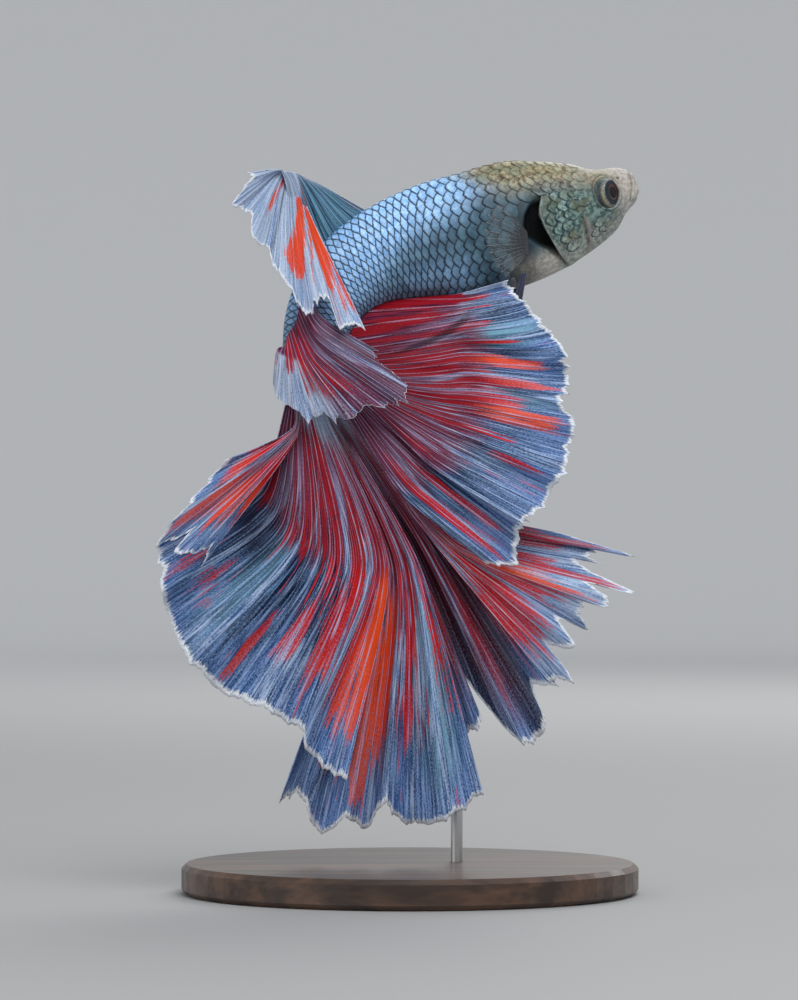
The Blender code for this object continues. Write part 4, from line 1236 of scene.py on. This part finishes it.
def eye_finish():
    """A dark iris round a black pupil, with copper and brass rings, in a mottled grey-green ball."""
    made, s, shader = finish(
        "eye", Roughness=0.6, Specular_IOR_Level=0.15, Coat_Weight=0.5, Coat_Roughness=0.08
    )
    pupil, copper, brass, white = s.kept("iris")
    fibres = s.noise(s.join(s.times(s.one("iris_turn"), 60.0), 0.0), 1.0, 3)
    specks = s.noise(s.place(), 6000, 2)
    colour = s.mix(s.step(fibres, 0.3, 0.7), (0.006, 0.012, 0.020), (0.020, 0.035, 0.045))
    mottled = s.mix(s.step(specks, 0.3, 0.7), (0.09, 0.13, 0.13), (0.30, 0.33, 0.31))
    colour = s.mix(white, colour, mottled)
    colour = s.mix(copper, colour, s.mix(fibres, (0.09, 0.022, 0.012), (0.20, 0.06, 0.03)))
    colour = s.mix(brass, colour, s.mix(specks, (0.14, 0.11, 0.05), (0.58, 0.50, 0.30)))
    s.feed(shader, Base_Color=s.mix(pupil, colour, (0.004, 0.003, 0.006)))
    return made


def web_lines_group():
    """Lines along a fin's rays and marks between them. Across is in rays and Along in the fish's unit."""
    names = ("Lines", "Forks", "Bands", "Streaks", "Dashes", "Specks")
    inputs = {"Across": "Float", "Along": "Float"}
    tree, s, into, end = group("web_lines", inputs, {name: "Float" for name in names})
    across, along = into.outputs["Across"], into.outputs["Along"]

    def marks(columns, rows, detail, shift=0.0):
        return s.noise(s.join(s.scaled(across, columns, shift), s.times(along, rows)), 1.0, detail)

    streaks = marks(2.6, 0.07, 4.0)

    def lines(count, width):
        """Lines that many to a ray, which drift a little with the streaks."""
        drift = s.swung(streaks, 0.3, across)
        off = s.math("ABSOLUTE", s.math("SUBTRACT", s.math("FRACT", s.scaled(drift, count, 0.5)), 0.5))
        return s.step(off, width, width * 0.25)

    s.feed(
        end, Lines=lines(1.0, 0.09), Forks=lines(4.0, 0.22), Streaks=streaks,
        Bands=marks(0.8, 0.05, 1.0, 11.0), Dashes=marks(11.0, 0.28, 3.0, 31.0),
        Specks=marks(24.0, 4.5, 2.0, 67.0),
    )
    return tree


def web_finish(web_lines):
    """Webs of navy and slate with red streaks, pale rays, blue flecks and a white margin."""
    made, s, shader = finish("fin_web", Specular_IOR_Level=0.1)
    across, along = s.map("rays")
    lines, forks, bands, streaks, dashes, specks = s.placed(web_lines, Across=across, Along=along)
    red, orange, plum, pale = s.kept("dye")
    white, fleck, dark, teal = s.kept("lace_and_shade")
    fine = s.step(dashes, 0.38, 0.64)
    grain = s.step(s.weighed(dashes, 0.65, specks, 0.35), 0.42, 0.58)
    far = s.step(along, 3.0, 17.0)
    # Navy, with brighter blue in streaks and a paler veil towards the margin.
    colour = s.mix(fine, (0.002, 0.009, 0.028), (0.016, 0.055, 0.145))
    blues = s.mix(s.step(specks, 0.4, 0.6), (0.06, 0.17, 0.42), (0.20, 0.40, 0.74))
    colour = s.mix(s.step(s.weighed(streaks, 0.55, dashes, 0.45), 0.50, 0.64), colour, blues)
    veil = s.times(s.step(s.swung(bands, 1.6, fleck), 0.45, 1.0), 0.7)
    colour = s.mix(veil, colour, s.mix(grain, (0.03, 0.11, 0.34), (0.26, 0.43, 0.85)))
    # Teal, plum and pale patches. The pale ones are speckled with navy.
    teals = s.mix(s.step(streaks, 0.40, 0.58), (0.010, 0.05, 0.08), (0.20, 0.46, 0.60))
    colour = s.mix(s.times(teal, 0.85), colour, teals)
    colour = s.mix(plum, colour, s.mix(fine, (0.080, 0.005, 0.018), (0.26, 0.022, 0.06)))
    pales = s.step(s.weighed(streaks, 0.5, specks, 0.5), 0.40, 0.60)
    pales = s.mix(pales, (0.17, 0.27, 0.48), (0.66, 0.78, 0.94))
    colour = s.mix(s.step(s.weighed(pale, 0.9, dashes, 0.7), 0.55, 1.0), colour, pales)
    speckled = s.step(s.scaled(fleck, 0.06, specks), 0.56, 0.66)
    speckled = s.math("MAXIMUM", speckled, s.step(dashes, 0.44, 0.34))
    colour = s.mix(s.times(speckled, s.times(pale, 0.7)), colour, (0.05, 0.09, 0.18))
    # Red breaks up along the rays, and blue shows in gaps between its streaks where it isn't solid.
    level = s.swung(dashes, 1.5, s.swung(bands, 1.6, s.swung(streaks, 1.8, red)))
    reds = s.mix(orange, (0.60, 0.008, 0.008), (0.92, 0.085, 0.004))
    reds = s.tint(s.mix(s.times(plum, 0.8), reds, (0.19, 0.006, 0.020)), s.scaled(dashes, 1.1, 0.4))
    colour = s.mix(s.step(level, 0.38, 0.60), colour, reds)
    broken = s.step(red, 1.7, 1.1)
    gaps = s.times(s.times(s.step(s.weighed(bands, 0.4, streaks, 0.6), 0.47, 0.41), far), broken)
    colour = s.mix(s.times(gaps, 0.75), colour, s.mix(grain, (0.05, 0.14, 0.38), (0.58, 0.73, 0.98)))
    # The dark tint: the fins' own dark marks, and painted shade on lobes that lie in another's shadow.
    colour = s.mix(s.times(dark, 0.9), colour, (0.012, 0.004, 0.010))
    # Pale lines on the rays, and thinner broken ones on their forks.
    strong = s.times(lines, s.step(s.weighed(specks, 0.4, dashes, 0.6), 0.38, 0.58))
    thin = s.times(forks, s.step(s.weighed(specks, 0.5, streaks, 0.5), 0.44, 0.60))
    thin = s.times(s.times(thin, s.scaled(far, 0.7, 0.1)), s.step(bands, 0.60, 0.48))
    ray = s.times(s.math("MAXIMUM", strong, thin), s.scaled(dark, -0.7, 1.0))
    ray = s.times(ray, s.scaled(broken, 0.8, 0.2))
    rays = s.mix(pale, s.mix(plum, (0.40, 0.55, 0.90), (0.46, 0.32, 0.46)), (0.80, 0.88, 1.0))
    colour = s.mix(s.times(ray, 0.75), colour, rays)
    flecks = s.step(s.scaled(fleck, 0.2, s.weighed(streaks, 0.3, specks, 0.7)), 0.62, 0.76)
    colour = s.mix(s.times(flecks, 0.35), colour, s.mix(dashes, (0.16, 0.32, 0.70), (0.60, 0.70, 0.88)))
    # The margin is white, with an inner edge like a comb's.
    comb = s.step(s.swung(specks, 0.3, s.swung(dashes, 0.75, white)), 0.55, 0.85)
    whites = s.mix(s.step(specks, 0.3, 0.6), (0.50, 0.60, 0.75), (0.95, 0.97, 1.0))
    s.feed(
        shader, Base_Color=s.mix(comb, colour, whites), Roughness=s.scaled(specks, 0.3, 0.3),
        Normal=s.bump(s.weighed(ray, 0.6, streaks, 0.6), 0.5, 0.00005),
    )
    return made


def clear_finish(web_lines):
    """Clear webs between fine dusky rays."""
    made, s, shader = finish("clear_web", Specular_IOR_Level=0.3)
    across, along = s.map("rays")
    lines, forks, _, streaks, dashes, specks = s.placed(web_lines, Across=across, Along=along)
    colour = s.mix(s.step(specks, 0.35, 0.65), (0.07, 0.075, 0.085), (0.42, 0.45, 0.46))
    knot = s.mix(s.step(dashes, 0.4, 0.6), (0.03, 0.032, 0.04), (0.17, 0.17, 0.185))
    knot = s.mix(s.step(streaks, 0.62, 0.68), knot, (0.16, 0.03, 0.03))
    rays = s.math("MAXIMUM", lines, s.times(forks, 0.5))
    s.feed(
        shader, Base_Color=s.mix(s.step(along, 2.2, 0.8), colour, knot), Roughness=s.scaled(specks, 0.2, 0.3),
        Alpha=s.math("MAXIMUM", s.scaled(rays, 0.55, 0.05), s.step(along, 1.9, 0.3)),
    )
    return made


def wood_finish():
    made, s, shader = finish("dark_wood", Coat_Weight=0.25, Coat_Roughness=0.15)
    bands = s.noise(s.place((14, 140, 140), (0.04, 0.06, 0.3)), 3.0, 4, 0.6)
    fibre = s.noise(s.place((60, 1900, 1900), (0, 0, 0.3)), 1.0, 3)
    colour = s.mix(s.step(bands, 0.35, 0.65), (0.030, 0.015, 0.009), (0.105, 0.052, 0.028))
    s.feed(
        shader, Base_Color=s.tint(colour, s.scaled(fibre, 0.8, 0.6)), Roughness=s.scaled(fibre, 0.25, 0.32),
        Normal=s.bump(fibre, 0.3, 0.0001),
    )
    return made


def steel_finish():
    made, s, shader = finish("brushed_steel", Metallic=1.0)
    brush = s.noise(s.place((6000, 6000, 120)), 1.0, 3)
    colour = s.mix(brush, (0.48, 0.48, 0.49), (0.68, 0.68, 0.67))
    s.feed(shader, Base_Color=colour, Roughness=s.scaled(brush, 0.25, 0.2))
    return made


# --- stage ---


def build_stage():
    """A pale floor that rises far out on all sides, soft lights and the camera."""
    obj, u, v = add_grid("floor", 120, 120)
    x, y = (u - 0.5) * 5, (v - 0.5) * 5
    far = np.hypot(x, y)
    move_corners(obj, np.stack([x, y, 1.1 * rise(0.9, 2.4, far) - 0.00005], axis=-1))
    made, s, shader = finish("pale_floor", Roughness=0.8)
    # The floor is painted darker near the middle and paler far out: painted light that evens out the lamps'
    # fall-off with distance.
    away = s.node("VectorMath", {0: s.place()}, operation="LENGTH").outputs["Value"]
    s.feed(shader, Base_Color=s.mix(s.step(away, 0.2, 0.95), (0.40, 0.405, 0.41), (0.90, 0.905, 0.91)))
    dress(obj, made)

    middle = Vector((-0.0011, 0, 0.040))
    # Each light's name, place, width in metres and power in watts.
    for name, place, size, power in (
        ("key", (0.10, -0.34, 0.46), 0.30, 1.6),
        ("fill", (-0.42, -0.30, 0.16), 0.40, 0.5),
        ("rear", (0.16, 0.42, 0.36), 0.36, 1.0),
    ):
        light = bpy.data.lights.new(name, "AREA")
        light.energy, light.size = power, size
        lamp = bpy.data.objects.new(name, light)
        bpy.context.scene.collection.objects.link(lamp)
        lamp.location = place
        lamp.rotation_euler = (middle - Vector(place)).to_track_quat("-Z", "Y").to_euler()
        lamp.visible_camera = False
    world = bpy.data.worlds.new("studio")
    world.use_nodes = True
    world.node_tree.nodes["Background"].inputs["Color"].default_value = (0.88, 0.90, 0.93, 1)
    world.node_tree.nodes["Background"].inputs["Strength"].default_value = 0.5
    scene = bpy.context.scene
    scene.world = world
    scene.view_settings.view_transform = "Standard"

    # A long lens that shows a field so wide at the fish's own depth.
    lens, sensor, field, depth = 180.0, 36, 0.100, -0.003
    view = bpy.data.cameras.new("camera")
    view.lens, view.sensor_width = lens, sensor
    view.clip_start, view.clip_end = 0.01, 20
    camera = bpy.data.objects.new("camera", view)
    scene.collection.objects.link(camera)
    camera.location = (-0.0011, depth - field * lens / sensor, 0.0395)
    camera.rotation_euler = (math.radians(90), 0, 0)
    scene.camera = camera


# --- all together ---

body_colour = body_colour_group()
web_lines = web_lines_group()
build_skin(skin_finish(body_colour))
build_coat(scale_finish(body_colour))
eye_look = eye_finish()
build_eye(1, "right", eye_look)
build_eye(-1, "left", eye_look)
build_fins(web_finish(web_lines), clear_finish(web_lines))
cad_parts["stand_base"].material_slots[0].material = wood_finish()
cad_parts["stand_rod"].material_slots[0].material = steel_finish()
build_stage()
